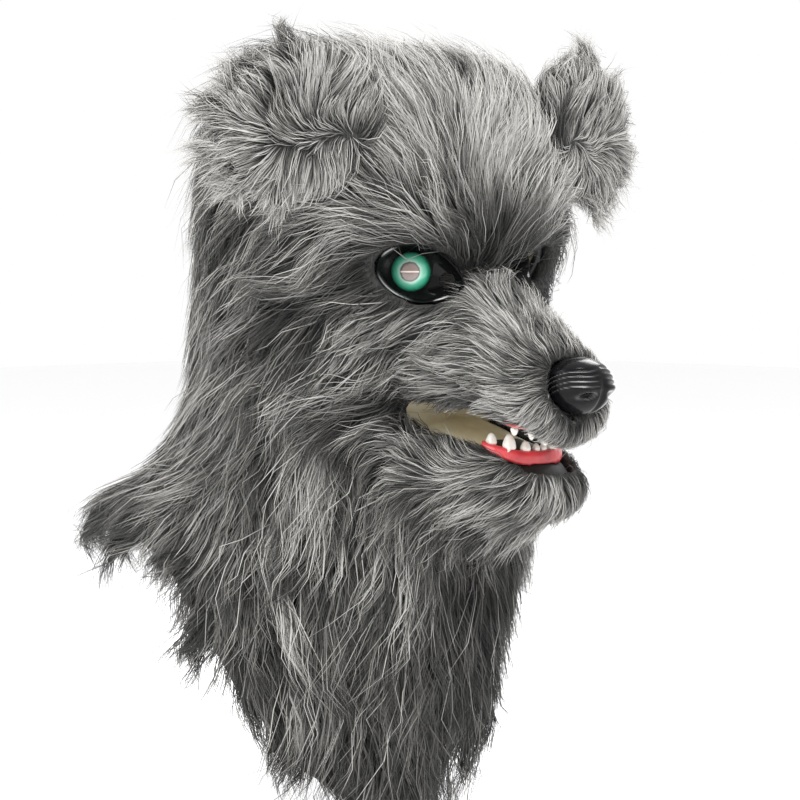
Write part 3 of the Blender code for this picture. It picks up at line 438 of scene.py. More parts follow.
EAR_COMB = (
    (132, -78, -32, 0.5, 0.0, 0.2, 14, 0.50, -0.20),
    (130, -76, -10, -0.05, 0.1, 1, 24, 0.42, 0.12),
    (95, -80, -2, 0.1, 0.1, 1, 24, 0.42, -0.35),
    (165, -66, -14, 0.4, 0.4, 0.9, 24, 0.42, -0.15),
    (118, -62, 22, 0.1, 0.6, 0.8, 26, 0.50, -0.30),
    (80, -64, 20, -0.2, 0.5, 0.9, 26, 0.50, -0.40),
    (72, -76, -20, -0.3, 0.1, 0.8, 20, 0.30, -0.85),
    (112, -82, -52, -0.2, 0.1, -1, 24, 0.40, -0.05),
    (140, -74, -58, 0.2, 0.1, -1, 26, 0.36, -0.10),
    (168, -62, -40, 1.0, 0.5, -0.1, 28, 0.36, 0.05),
    (184, -44, -42, 0.7, 0.8, -0.2, 26, 0.42, -0.15),
    (165, -56, -66, 0.6, 0.4, -0.8, 28, 0.34, -0.10),
    (100, -72, -66, -0.2, 0.2, -0.9, 24, 0.30, -0.75),
    (120, -34, 10, 0.2, 0.9, -0.1, 28, 0.40, 0.00),
    (130, -32, -30, 0.2, 0.6, -0.9, 32, 0.36, 0.00),
)
COMB_POWER = 4
SWIRL, SWIRL_SIZE = 0.95, 0.034  # radians that the hair strays from the comb, and how often
PATCH, PATCH_SIZE = 0.42, 0.026  # lightness that differs from patch to patch


def slow_noise(points, patch_size, shift):
    """Smooth noise between about -0.5 and 0.5, the same in each run."""
    return np.array([noise.noise(Vector(p) / patch_size + Vector((shift, 0, 0))) for p in points])


def combed(points, normals, table):
    """Hair direction, length, stand and lightness at each point, by nearness to the rows."""
    guides = np.array(table)
    mirrored = guides * np.array([-1, 1, 1, -1, 1, 1, 1, 1, 1])
    guides = np.concatenate([guides, mirrored])
    apart = np.linalg.norm(points[:, None] - guides[None, :, :3] / 1000, axis=2)
    weight = 1 / np.maximum(apart, 0.004) ** COMB_POWER
    weight /= weight.sum(axis=1, keepdims=True)
    blend = weight @ guides[:, 3:]
    way = blend[:, :3] - normals * (blend[:, :3] * normals).sum(axis=1, keepdims=True)
    way /= np.maximum(np.linalg.norm(way, axis=1, keepdims=True), 1e-6)
    stray = SWIRL * slow_noise(points, SWIRL_SIZE, 3.7)[:, None]
    way = way * np.cos(stray) + np.cross(normals, way) * np.sin(stray)
    patches = PATCH * slow_noise(points, PATCH_SIZE, 9.1)
    return way, blend[:, 3] / 1000, blend[:, 4], blend[:, 5] + patches


way, reach, stand, light = combed(skin, outward, COMB)
print(len(COMB), "comb rows, mean length", reach.mean().round(4))

# %% [markdown]
# Hair grows only where the skin faces away from the wall: not inside the mouth, nor on
# the rim of an eye. A hair that points at an eye is clipped before it gets there, as the
# maker trims it. Near the hem the hair hangs free, and elsewhere it hugs the skin.

# %% Where the hair grows
EYE_AT = Vector((0.047, -0.079, -0.1145))
EYE_BEARING, EYE_DROOP = math.radians(50), math.radians(14)
EYE_LENGTH, EYE_HEIGHT = 0.056, 0.035
MOUTH_DROP, MOUTH_SLOPE, MOUTH_FROM_Y = 0.1865, 0.22, -0.060


def eye_frame(hand):
    """X to the inner corner, Y up, Z out of the head. hand is 1 for the wearer's left."""
    out = Vector((math.sin(EYE_BEARING), -math.cos(EYE_BEARING), 0))
    level = Vector((-math.cos(EYE_BEARING), -math.sin(EYE_BEARING), 0))
    inner = level * math.cos(EYE_DROOP) - Vector((0, 0, math.sin(EYE_DROOP)))
    up = inner.cross(out)
    up = up if up.z > 0 else -up
    matrix = Matrix((inner, up, out)).transposed().to_4x4()
    matrix.translation = EYE_AT
    return Matrix.Diagonal((hand, 1, 1, 1)) @ matrix


def clip_at_eyes(points, way, reach, grows):
    """Shortens the hair that would cross an eye, and clears the eye itself."""
    half = np.array([EYE_LENGTH / 2 + 0.001, EYE_HEIGHT / 2 + 0.001])
    for hand in (1, -1):
        into = np.array(eye_frame(hand).inverted())
        local = points @ into[:3, :3].T + into[:3, 3]
        turn = way @ into[:3, :3].T
        near = np.abs(local[:, 2]) < 0.035
        p, d = local[:, :2] / half, turn[:, :2] / half
        a, b, c = (d * d).sum(1), (p * d).sum(1), (p * p).sum(1) - 1
        root = b * b - a * c
        hits = near & (root > 0) & (b < 0) & (c > 0)
        far = np.where(hits, (-b - np.sqrt(np.maximum(root, 0))) / np.maximum(a, 1e-9), 1)
        reach[:] = np.where(hits, np.minimum(reach, np.maximum(far, 0.003)), reach)
        grows[near & (c < 0.06)] = 0


offsets = wall_offsets(skin)
depth = np.linalg.norm(offsets, axis=1)
facing = (outward * offsets).sum(axis=1) / np.maximum(depth, 1e-6)
grows = ((facing > 0.25) & (depth > 0.0035)).astype(float)
over_mouth = skin[:, 2] - MOUTH_SLOPE * skin[:, 1] + MOUTH_DROP
near_mouth = (skin[:, 1] < MOUTH_FROM_Y) & (np.abs(over_mouth) < 0.030)
into_mouth = over_mouth * outward[:, 2] < 0
rim = near_mouth & into_mouth & (np.abs(outward[:, 2]) > 0.55)
turned_in = near_mouth & (skin[:, 0] * outward[:, 0] < -0.2 * np.abs(skin[:, 0]))
grows[rim] = 1.0
reach[rim] = np.minimum(reach[rim], 0.011)
grows[turned_in] = 0
clip_at_eyes(skin, way, reach, grows)
HEM_TOP = -0.285
JAW_ROOM = 0.06
below_jaw = np.hypot(skin[:, 0], skin[:, 1] + 0.11) < JAW_ROOM
hem = skin[(skin[:, 2] < HEM_TOP) & (outward[:, 2] < -0.6) & ~below_jaw]
hug = np.ones(len(skin))
for start in range(0, len(skin), 4000):
    block = skin[start : start + 4000]
    gap = np.linalg.norm(block[:, None] - hem[None], axis=2).min(axis=1)
    hug[start : start + 4000] = np.clip((gap - 0.012) / 0.040, 0, 1)
reach *= 0.62 + 0.38 * hug
reach *= 1 - 0.62 * far_side
stand *= (1 - 0.5 * far_side) * (1 - 0.35 * behind)
stand *= 0.35 + 0.65 * hug
print("hair grows on", int(grows.sum()), "of", len(skin), "points")

# %% [markdown]
# The strand tree is the heart of the coat. It scatters roots over the skin, puts a narrow
# ribbon on each root, makes the ribbons real and then moves their points: along the comb,
# towards the tip of the lock that the root belongs to, sideways in a soft wave, and off
# the skin by the stand of the hair. Ribbons are used and not tubes, because one flat
# triangle strip per hair keeps the coat under a million triangles.

# %% Strand tree
def put(tree, kind, links=None, **settings):
    """Adds a geometry node, sets it and joins its inputs in one call."""
    node = tree.nodes.new(kind)
    values = {}
    for key, value in settings.items():
        if key in node.bl_rna.properties:
            setattr(node, key, value)
        else:
            values[key] = value
    for key, value in values.items():
        node.inputs[int(key[1:]) if key[1:].isdigit() else key].default_value = value
    for key, source in (links or {}).items():
        tree.links.new(source, node.inputs[key])
    return node


class Field:
    """A value in a node tree that can be added, multiplied and so on."""

    def __init__(self, tree, socket, vector=False):
        self.tree, self.socket, self.vector = tree, socket, vector

    def _op(self, operation, other=None):
        kind = "ShaderNodeVectorMath" if self.vector else "ShaderNodeMath"
        node = self.tree.nodes.new(kind)
        node.operation = operation
        for slot_at, value in enumerate((self, other)):
            if value is None:
                continue
            if isinstance(value, Field):
                self.tree.links.new(value.socket, node.inputs[slot_at])
            else:
                node.inputs[slot_at].default_value = value
        return node

    def __add__(self, other):
        return Field(self.tree, self._op("ADD", other).outputs[0], self.vector)

    def __sub__(self, other):
        return Field(self.tree, self._op("SUBTRACT", other).outputs[0], self.vector)

    def __mul__(self, other):
        if self.vector:
            node = self.tree.nodes.new("ShaderNodeVectorMath")
            node.operation = "SCALE"
            self.tree.links.new(self.socket, node.inputs[0])
            if isinstance(other, Field):
                self.tree.links.new(other.socket, node.inputs["Scale"])
            else:
                node.inputs["Scale"].default_value = other
            return Field(self.tree, node.outputs[0], True)
        return Field(self.tree, self._op("MULTIPLY", other).outputs[0])

    def power(self, other):
        return Field(self.tree, self._op("POWER", other).outputs[0])

    def sine(self):
        return Field(self.tree, self._op("SINE").outputs[0])

    def cosine(self):
        return Field(self.tree, self._op("COSINE").outputs[0])

    def above(self, other):
        return Field(self.tree, self._op("GREATER_THAN", other).outputs[0])

    def dot(self, other):
        return Field(self.tree, self._op("DOT_PRODUCT", other).outputs["Value"])

    def cross(self, other):
        return Field(self.tree, self._op("CROSS_PRODUCT", other).outputs[0], True)

    def unit(self):
        return Field(self.tree, self._op("NORMALIZE").outputs[0], True)

    def part(self, axis):
        node = self.tree.nodes.new("ShaderNodeSeparateXYZ")
        self.tree.links.new(self.socket, node.inputs[0])
        return Field(self.tree, node.outputs[axis])


def named(tree, name, vector=False):
    kind = "FLOAT_VECTOR" if vector else "FLOAT"
    node = put(tree, "GeometryNodeInputNamedAttribute", data_type=kind, Name=name)
    return Field(tree, node.outputs["Attribute"], vector)


def stored(tree, geometry, name, field):
    """Stores a field on the points of a geometry under a name."""
    node = tree.nodes.new("GeometryNodeStoreNamedAttribute")
    node.data_type = "FLOAT_VECTOR" if field.vector else "FLOAT"
    node.domain = "POINT"
    node.inputs["Name"].default_value = name
    tree.links.new(geometry, node.inputs["Geometry"])
    tree.links.new(field.socket, node.inputs["Value"])
    return node.outputs["Geometry"]


GUARD_FROM = 0.90  # one hair in ten is a guard hair: longer, paler and a little wider
TAPER = 2.5  # a ribbon keeps its width for most of its length and then runs to a point
CLEARANCE = 0.0005  # the least height of a hair over the skin
SAG = -0.12  # how far the tip of a free hair hangs, as a share of its length
STRAND_INPUTS = (
    ("Coat", "NodeSocketGeometry", None),
    ("Zone", "NodeSocketInt", 0),
    ("Roots per m2", "NodeSocketFloat", 400000.0),
    ("Seed", "NodeSocketInt", 7),
    ("Segments", "NodeSocketInt", 4),
    ("Hair width", "NodeSocketFloat", 0.0007),
    ("Lock size", "NodeSocketFloat", 0.024),
    ("Tuft size", "NodeSocketFloat", 0.008),
    ("Lock pull", "NodeSocketFloat", 0.46),
    ("Tuft pull", "NodeSocketFloat", 0.50),
    ("Wave", "NodeSocketFloat", 0.0035),
    ("Hair", "NodeSocketMaterial", None),
)
tree = bpy.data.node_groups.new("Fur strands", "GeometryNodeTree")
for label, kind, value in STRAND_INPUTS:
    socket = tree.interface.new_socket(name=label, in_out="INPUT", socket_type=kind)
    if value is not None:
        socket.default_value = value
tree.interface.new_socket(name="Strands", in_out="OUTPUT", socket_type="NodeSocketGeometry")
given = tree.nodes.new("NodeGroupInput").outputs
result = tree.nodes.new("NodeGroupOutput")


def size(label):
    return Field(tree, given[label])


def position():
    return Field(tree, put(tree, "GeometryNodeInputPosition").outputs[0], True)


def from_constant(operation, first, second):
    """Starts from a constant, and takes away or divides by a field."""
    node = put(tree, "ShaderNodeMath", operation=operation, i0=first)
    tree.links.new(second.socket, node.inputs[1])
    return Field(tree, node.outputs[0])


zone_of = put(tree, "GeometryNodeInputNamedAttribute", data_type="INT", Name="zone")
in_zone = put(
    tree,
    "FunctionNodeCompare",
    {2: zone_of.outputs["Attribute"], 3: given["Zone"]},
    data_type="INT",
    operation="EQUAL",
)
density = named(tree, "grows") * size("Roots per m2")
scatter = put(
    tree,
    "GeometryNodeDistributePointsOnFaces",
    {
        "Mesh": given["Coat"],
        "Selection": in_zone.outputs["Result"],
        "Density": density.socket,
        "Seed": given["Seed"],
    },
    distribute_method="RANDOM",
)
points = scatter.outputs["Points"]


def chance(seed, low=0.0, high=1.0):
    """A random number for each root, the same in each run."""
    node = put(tree, "FunctionNodeRandomValue", data_type="FLOAT")
    floats = [s for s in node.inputs if s.type == "VALUE" and s.name in ("Min", "Max")]
    floats[0].default_value, floats[1].default_value = low, high
    node.inputs["Seed"].default_value = seed
    return Field(tree, next(s for s in node.outputs if s.type == "VALUE" and s.enabled))


def cells(cell_size):
    """The middle of the lock that a root is in, and that lock's three random numbers."""
    node = put(tree, "ShaderNodeTexVoronoi", {}, voronoi_dimensions="3D", feature="F1")
    scaled = position() * from_constant("DIVIDE", 1.0, size(cell_size))
    tree.links.new(scaled.socket, node.inputs["Vector"])
    node.inputs["Scale"].default_value = 1.0
    middle = Field(tree, node.outputs["Position"], True) * size(cell_size)
    return middle, Field(tree, node.outputs["Color"], True)


root = position()
lock_middle, lock_luck = cells("Lock size")
tuft_middle, tuft_luck = cells("Tuft size")
guard = chance(3).above(GUARD_FROM)
for name, field in (
    ("root", root),
    ("lock", lock_middle),
    ("lock_luck", lock_luck),
    ("tuft", tuft_middle),
    ("tuft_luck", tuft_luck),
    ("guard", guard),
    ("luck", chance(5)),
    ("twist", chance(8, -0.9, 0.9)),
):
    points = stored(tree, points, name, field)

grid = put(tree, "GeometryNodeMeshGrid", {}, **{"Size X": 1.0, "Size Y": 1.0, "Vertices X": 2})
rows_up = Field(tree, given["Segments"]) + 1
tree.links.new(rows_up.socket, grid.inputs["Vertices Y"])
flat_at = position()
ribbon = stored(tree, grid.outputs["Mesh"], "along", flat_at.part("Y") + 0.5)
taper = from_constant("SUBTRACT", 1.0, named(tree, "along").power(TAPER))
ribbon = stored(tree, ribbon, "side", flat_at.part("X") * taper)
outline = {"X": named(tree, "side").socket, "Y": flat_at.part("Y").socket}
narrow = put(tree, "ShaderNodeCombineXYZ", outline).outputs[0]
ribbon = put(tree, "GeometryNodeSetPosition", {"Geometry": ribbon, "Position": narrow}).outputs[0]
ribbon = put(tree, "GeometryNodeMergeByDistance", {"Geometry": ribbon}, Distance=0.0001).outputs[0]
planted = put(tree, "GeometryNodeInstanceOnPoints", {"Points": points, "Instance": ribbon})
hairs = put(tree, "GeometryNodeRealizeInstances", {"Geometry": planted.outputs[0]}).outputs[0]


def seen_on_skin(name, vector, at):
    """An attribute of the skin at its nearest place to a point."""
    node = tree.nodes.new("GeometryNodeSampleNearestSurface")
    node.data_type = "FLOAT_VECTOR" if vector else "FLOAT"
    tree.links.new(given["Coat"], node.inputs["Mesh"])
    tree.links.new(named(tree, name, vector).socket, node.inputs["Value"])
    tree.links.new(at.socket, node.inputs["Sample Position"])
    return Field(tree, node.outputs["Value"], vector)


along, side = named(tree, "along"), named(tree, "side")
start, comb, up = named(tree, "root", True), named(tree, "comb", True), named(tree, "skin", True)
lock_luck, tuft_luck = named(tree, "lock_luck", True), named(tree, "tuft_luck", True)
guard, luck = named(tree, "guard"), named(tree, "luck")
# The path of a hair: along its own comb and, further out, the comb where it has got to.
length = named(tree, "reach") * (luck * 0.45 + lock_luck.part("X") * 0.35 + guard * 0.25 + 0.60)
run = along * length
later = seen_on_skin("comb", True, start + comb * (length * 0.6))
path = start + comb * run + (later - comb) * (run * along * 0.6)
# The tips draw together in tufts, and the tufts in locks.
path = path - (start - named(tree, "tuft", True)) * (size("Tuft pull") * along.power(1.2))
path = path - (start - named(tree, "lock", True)) * (size("Lock pull") * along.power(1.5))
# Sideways: the soft wave, the drift of a whole lock, and the stray of a guard hair.
across = comb.cross(up).unit()
phase = tuft_luck.part("X") * 6.28 + lock_luck.part("Y") * 3.0
swing = (along * 8.5 + phase).sine() * size("Wave") * along * (named(tree, "reach") * 20.0)
drift = (lock_luck.part("Z") - 0.5) * length * along * 0.62
stray = (luck - 0.5) * guard * length * along * 0.6
path = path + across * (swing + drift + stray)
# Off the skin that the hair passes over. By the hem the skin's hold on it fades.
lively = tuft_luck.part("Y") * 0.55 + lock_luck.part("Y") * 0.45 + 0.45 + guard * 0.35
lift = length * named(tree, "stand") * lively
rise = lift * (along * 1.25 - along * along * 0.45) + CLEARANCE
touch = put(tree, "GeometryNodeProximity", {}, target_element="FACES")
tree.links.new(given["Coat"], touch.inputs[0])
sample_names = ("Sample Position", "Source Position")
tree.links.new(path.socket, next(s for s in touch.inputs if s.name in sample_names))
ground = Field(tree, touch.outputs["Position"], True)
ground_up = seen_on_skin("skin", True, path)
hug_here = named(tree, "hug")
off = (path - ground).dot(ground_up) * hug_here
lean = (ground_up * hug_here + up * (hug_here * -1.0 + 1.0)).unit()
path = path + lean * (rise - off)
sag = (hug_here * -1.0 + 1.0) * length * along * along * SAG
droop = put(tree, "ShaderNodeCombineXYZ", {"Z": sag.socket})
path = path + Field(tree, droop.outputs[0], True)
# The ribbon's width, turned by chance, and then its lightness: by lock, tuft and hair.
spin = named(tree, "twist")
flat = across * spin.cosine() + lean * spin.sine()
path = path + flat * (side * size("Hair width") * (guard * 0.25 + 1.0))
moved = {"Geometry": hairs, "Position": path.socket}
placed = put(tree, "GeometryNodeSetPosition", moved).outputs[0]
shade = (
    named(tree, "light")
    + (lock_luck.part("X") - 0.5) * 0.34
    + (tuft_luck.part("Z") - 0.5) * 0.42
    + (luck - 0.5) * 0.62
    + guard * 0.30
    + 0.5
)
placed = stored(tree, placed, "shade", shade)
painted = put(tree, "GeometryNodeSetMaterial", {"Geometry": placed, "Material": given["Hair"]})
tree.links.new(painted.outputs[0], result.inputs[0])
print("strand tree:", len(tree.nodes), "nodes")

# %% [markdown]
# The hair itself is dull acrylic: a cool middle grey along its length, and here and there
# a pale tip. Towards the root each hair is darkened to near black with painted shade, for
# the shadow deep in the pile. The colour is read from the place along the hair and from
# the lightness that the tree gave it, so each hair differs a little.

# %% Hair finish
def hair_look():
    acrylic = {"Sheen_Weight": 0.12, "Sheen_Roughness": 0.45, "Specular_IOR_Level": 0.35}
    look, tree, shader = new_look("grey_fur", (0.15, 0.15, 0.145), 0.62, **acrylic)
    at = add(tree, "ShaderNodeAttribute", attribute_name="along")
    shade_at = add(tree, "ShaderNodeAttribute", attribute_name="shade")
    tone = ramp(
        tree,
        [
            (0.05, (0.008, 0.008, 0.0075)),
            (0.35, (0.032, 0.0315, 0.029)),
            (0.60, (0.082, 0.080, 0.074)),
            (0.80, (0.190, 0.186, 0.174)),
            (1.00, (0.430, 0.420, 0.400)),
        ],
        (shade_at, "Fac"),
    )
    # Painted shade: each hair is darkened towards its root, where the pile would lie in shadow.
    shadow = ((0.0, 0.10), (0.30, 0.55), (0.65, 1.0), (1.0, 1.0))
    depth = ramp(tree, [(place, (grey, grey, grey)) for place, grey in shadow], (at, "Fac"))
    tone, depth = tone.outputs["Color"], depth.outputs["Color"]
    mix_into(tree, shader.inputs["Base Color"], tone, depth, 1.0, blend_type="MULTIPLY")
    return look


fur_look = hair_look()


def ground_look():
    """The short dark pile under the long hair, streaked with noise."""
    look, tree, shader = new_look("fur_ground", (0.02, 0.02, 0.019), 0.9)
    stretch = add(tree, "ShaderNodeMapping", Scale=(1.0, 1.0, 0.25))
    own_place(tree, (stretch, "Vector"))
    pile = add(tree, "ShaderNodeTexNoise", Scale=900.0, Detail=4.0)
    join(tree, (stretch, "Vector"), (pile, "Vector"))
    pile_tones = [(0.35, (0.006, 0.006, 0.006)), (0.70, (0.045, 0.044, 0.041))]
    colour = ramp(tree, pile_tones, (pile, "Fac"))
    join(tree, (colour, "Color"), (shader, "Base Color"))
    bump = add(tree, "ShaderNodeBump", Strength=0.8, Distance=0.0008)
    join(tree, (pile, "Fac"), (bump, "Height"))
    join(tree, (bump, "Normal"), (shader, "Normal"))
    return look


under_look = ground_look()
paint(coat.data, under_look)
hand_in(coat, "grey_fur", *PANELS)

# %% [markdown]
# The coat is grown in eight pieces, as one mesh for all the hair would be too heavy. A zone
# number on each face says which piece it feeds. Short fine hair is sown on the muzzle and
# jaw, and longer and thicker hair on the back, cape and bib.

# %% Growing the strands
def write_point(mesh, name, values):
    vector = values.ndim == 2
    made = mesh.attributes.new(name, "FLOAT_VECTOR" if vector else "FLOAT", "POINT")
    made.data.foreach_set("vector" if vector else "value", values.ravel().astype(np.float32))


def zones_of(mesh):
    """Splits the coat into pieces that each stay under the triangle limit."""
    flat = np.empty(len(mesh.polygons) * 3, np.float32)
    mesh.polygons.foreach_get("center", flat)
    x, y, z = flat.reshape(-1, 3).T
    zone = np.where(x < 0, 0, 1)
    zone[y > 0.03] = np.where(x < 0, 2, 3)[y > 0.03]
    zone[z < -0.235] = 4
    zone[(z < -0.255) & (y > 0.03)] = 5
    zone[(y < -0.098) & (z > -0.2165)] = 6
    zone[(y < -0.070) & (z <= -0.2165) & (z > -0.300)] = 7
    return zone.astype(np.int32)


def skin_mesh(name, points, faces, fields, zone):
    """A mesh that carries the hair's directions and sizes on its points."""
    mesh = bpy.data.meshes.new(name)
    mesh.from_pydata(points.tolist(), [], faces)
    for label, values in fields.items():
        write_point(mesh, label, values)
    zone_layer = mesh.attributes.new("zone", "INT", "FACE")
    zone_layer.data.foreach_set("value", np.broadcast_to(zone, len(faces)).astype(np.int32))
    return mesh


faces = [tuple(p.vertices) for p in coat.data.polygons]
fields = {"comb": way, "skin": outward, "reach": reach, "stand": stand}
fields.update({"light": light, "grows": grows, "hug": hug})
emitter = skin_mesh("coat_skin", skin, faces, fields, zones_of(coat.data))
ZONES = (
    # name, zone, roots per m2, segments, width mm, lock mm, tuft mm, wave mm
    ("strands_face_right", 0, 455000, 4, 0.50, 22, 8, 4.0),
    ("strands_face_left", 1, 380000, 4, 0.54, 22, 8, 4.0),
    ("strands_back_right", 2, 330000, 4, 0.58, 26, 9, 5.0),
    ("strands_back_left", 3, 265000, 4, 0.66, 26, 9, 5.0),
    ("strands_bib", 4, 355000, 4, 0.56, 26, 9, 5.5),
    ("strands_cape", 5, 340000, 4, 0.60, 28, 10, 5.5),
    ("strands_muzzle", 6, 1250000, 3, 0.38, 13, 5, 2.4),
    ("strands_jaw", 7, 880000, 3, 0.43, 16, 6, 3.2),
)
sockets = {item.name: item.identifier for item in tree.interface.items_tree}
KEPT = ("along", "shade", "position")


def grown(name, mesh, zone, roots, segments, width, lock, tuft, wave, seed=11):
    carrier = object_of(mesh.copy(), name + "_skin", smooth=False)
    modifier = carrier.modifiers.new("Fur", "NODES")
    modifier.node_group = tree
    for label, value in (
        ("Zone", zone),
        ("Roots per m2", float(roots)),
        ("Seed", seed),
        ("Segments", segments),
        ("Hair width", width / 1000),
        ("Lock size", lock / 1000),
        ("Tuft size", tuft / 1000),
        ("Wave", wave / 1000),
        ("Hair", fur_look),
    ):
        modifier[sockets[label]] = value
    seen = carrier.evaluated_get(bpy.context.evaluated_depsgraph_get())
    strands = bpy.data.meshes.new_from_object(seen)
    bpy.data.objects.remove(carrier)
    for layer in [a.name for a in strands.attributes]:
        if layer not in KEPT and not layer.startswith(".") and layer != "material_index":
            strands.attributes.remove(strands.attributes[layer])
    piece = object_of(strands, name)
    hand_in(piece, "grey_fur")
    return piece


def triangles_in(piece):
    piece.data.calc_loop_triangles()
    return len(piece.data.loop_triangles)


fur_pieces = [grown(name, emitter, zone, *sizes) for name, zone, *sizes in ZONES]
print("coat triangles", [triangles_in(piece) for piece in fur_pieces])

# %% [markdown]
# The ears are thick round pads of the same fabric. Each is remeshed and softened as the
# coat was, and gets its own comb rows: the hair fans from the foot of the ear over its
# rim, and is short and dark in the hollow.

# %% Ears
coat_tree = BVHTree.FromPolygons([Vector(p) for p in skin], faces)
EAR_TRIM, EAR_LIGHT = 0.76, 0.58
EAR_VOXEL, EAR_DRAWN_IN, EAR_HUG = 0.0040, 0.005, 0.55
UNDER_COAT = 0.002  # an ear point this far inside the coat grows no hair
EAR_STRANDS = (530000, 3, 0.54, 20, 7, 2.5)  # as in ZONES, from the roots per m2 on


def dress_ear(solid):
    pad = object_of(merged_copy([solid], solid + "_pad"), solid + "_pad")
    with_modifier(pad, "REMESH", mode="VOXEL", voxel_size=EAR_VOXEL)
    points = array_of(pad.data)
    lines = edges_of(pad.data)
    for _ in range(6):
        points += 0.6 * (neighbours_mean(points, lines) - points)
    move_points(pad.data, points)
    points = points - normals_of(pad.data) * EAR_DRAWN_IN
    move_points(pad.data, points)
    normals = normals_of(pad.data)
    way, reach, stand, light = combed(points, normals, EAR_COMB)
    reach, stand, light = reach * EAR_TRIM, stand * 0.9, light + EAR_LIGHT
    grows = np.ones(len(points))
    for at, point in enumerate(points):
        place, normal, _, _ = coat_tree.find_nearest(Vector(point))
        if (Vector(point) - place).dot(normal) < -UNDER_COAT:
            grows[at] = 0
    fields = {"comb": way, "skin": normals, "reach": reach, "stand": stand}
    fields.update({"light": light, "grows": grows, "hug": np.full(len(points), EAR_HUG)})
    pad_faces = [tuple(p.vertices) for p in pad.data.polygons]
    mesh = skin_mesh(solid + "_skin", points, pad_faces, fields, 0)
    strands = grown("strands_" + solid, mesh, 0, *EAR_STRANDS)
    paint(pad.data, under_look)
    hand_in(pad, "grey_fur", solid)
    print(solid, triangles_in(pad), triangles_in(strands))


dress_ear("ear_left")
dress_ear("ear_right")

# %% [markdown]
# Several finishes share two small effects: a fine grain, such as moulded plastic or
# latex shows close up, and a slow mottle, which keeps a large plain face from looking
# printed. Each is a node group that is built once and used with its own values.

# %% Shared effects
def grain_group():
    inputs = {"Vector": 0, "Scale": 900.0, "Strength": 0.2}
    tree, given, out = group_of("Fine grain", inputs, {"Normal": "NodeSocketVector"})
    noise = add(tree, "ShaderNodeTexNoise", Detail=3.0)
    join(tree, (given, "Vector"), (noise, "Vector"))
    join(tree, (given, "Scale"), (noise, "Scale"))
    bump = add(tree, "ShaderNodeBump", Distance=0.0004)
    join(tree, (noise, "Fac"), (bump, "Height"))
    join(tree, (given, "Strength"), (bump, "Strength"))
    join(tree, (bump, "Normal"), (out, "Normal"))
    return tree


def mottle_group():
    inputs = {"Vector": 0, "Scale": 25.0, "Low": 0.85, "High": 1.1}
    tree, given, out = group_of("Slow mottle", inputs, {"Value": "NodeSocketFloat"})
    noise = add(tree, "ShaderNodeTexNoise", Detail=4.0)
    join(tree, (given, "Vector"), (noise, "Vector"))
    join(tree, (given, "Scale"), (noise, "Scale"))
    spread = add(tree, "ShaderNodeMapRange", From_Min=0.3, From_Max=0.7)
    join(tree, (noise, "Fac"), (spread, "Value"))
    join(tree, (given, "Low"), (spread, "To Min"))
    join(tree, (given, "High"), (spread, "To Max"))
    join(tree, (spread, "Result"), (out, "Value"))
    return tree


GRAIN, MOTTLE = grain_group(), mottle_group()


def use(tree, group, **values):
    """Places a shared effect, fed with the piece's own coordinates."""
    node = add(tree, "ShaderNodeGroup")
    node.node_tree = group
    own_place(tree, (node, "Vector"))
    for key, value in values.items():
        node.inputs[key].default_value = value
    return node


def worked_look(name, dark, light, rough, grain=900.0, bump=0.2, mottle=25.0, **values):
    """A finish with a mottled colour, a roughness that follows it and a fine grain."""
    look, tree, shader = new_look(name, light, rough, **values)
    patches = use(tree, MOTTLE, Scale=mottle, Low=0.0, High=1.0)
    colour = ramp(tree, [(0.0, dark), (1.0, light)], (patches, "Value"))
    join(tree, (colour, "Color"), (shader, "Base Color"))
    dull = add(tree, "ShaderNodeMapRange", To_Min=rough * 1.15, To_Max=rough * 0.85)
    join(tree, (patches, "Value"), (dull, "Value"))
    join(tree, (dull, "Result"), (shader, "Roughness"))
    relief = use(tree, GRAIN, Scale=grain, Strength=bump)
    join(tree, (relief, "Normal"), (shader, "Normal"))
    return look


# Name, dark and light colour, roughness, grain, its depth, and the mottle.
black_gloss = worked_look(
    "gloss_black", (0.002, 0.002, 0.002), (0.005, 0.005, 0.005), 0.08, 700.0, 0.05, 60.0,
    Specular_IOR_Level=0.16,
)
nose_gloss = worked_look(
    "nose_leather", (0.002, 0.002, 0.0025), (0.006, 0.006, 0.007), 0.17, 1500.0, 0.12, 90.0,
    Specular_IOR_Level=0.14,
)
shell_tan = worked_look(
    "moulded_tan", (0.58, 0.51, 0.34), (0.78, 0.71, 0.52), 0.55, 700.0, 0.35, 38.0
)
gum_red = worked_look(
    "gum_red", (0.52, 0.025, 0.035), (0.80, 0.075, 0.085), 0.30, 600.0, 0.25, 90.0,
    Coat_Weight=0.4, Coat_Roughness=0.12,
)
tooth_white = worked_look(
    "tooth_white", (0.72, 0.68, 0.60), (0.90, 0.88, 0.84), 0.24, 800.0, 0.12, 160.0,
    Coat_Weight=0.3, Coat_Roughness=0.1,
)


def glint_of(tree):
    """The painted highlights that are stored on the mesh."""
    return add(tree, "ShaderNodeAttribute", attribute_name="glint").outputs["Fac"]


# Painted highlights: pale grey laid over the black of the eye cups and the nose, where glint is
# set.
over_finish(black_gloss, (0.75, 0.75, 0.75), glint_of)
over_finish(nose_gloss, (0.26, 0.26, 0.26), glint_of)
print("finishes ready")

# %% [markdown]
# Each eye is two mouldings: a glossy black cup in the shape of an almond, which runs on
# to the inner corner as a tear duct, and a clear-coated dome with the iris under it. Both
# are lofted from rings, so their rims stay crisp. The dome's colours follow the distance
# from its middle, which is stored on the mesh, so they turn with the piece.

# %% Eyes
ROUND = 72  # points round each ring


def circle():
    turn = np.linspace(0, 2 * np.pi, ROUND, endpoint=False)
    return np.stack([np.cos(turn), np.sin(turn), np.zeros(ROUND)], axis=1)


def narrowed(x):
    """How much of its height the almond keeps, from its middle to the inner corner."""
    return 1 - 0.34 * np.maximum(0, x) ** 1.5


def almond(length, height):
    x, y, z = circle().T
    return np.stack([x * length / 2, y * height / 2 * narrowed(x), z], axis=1)


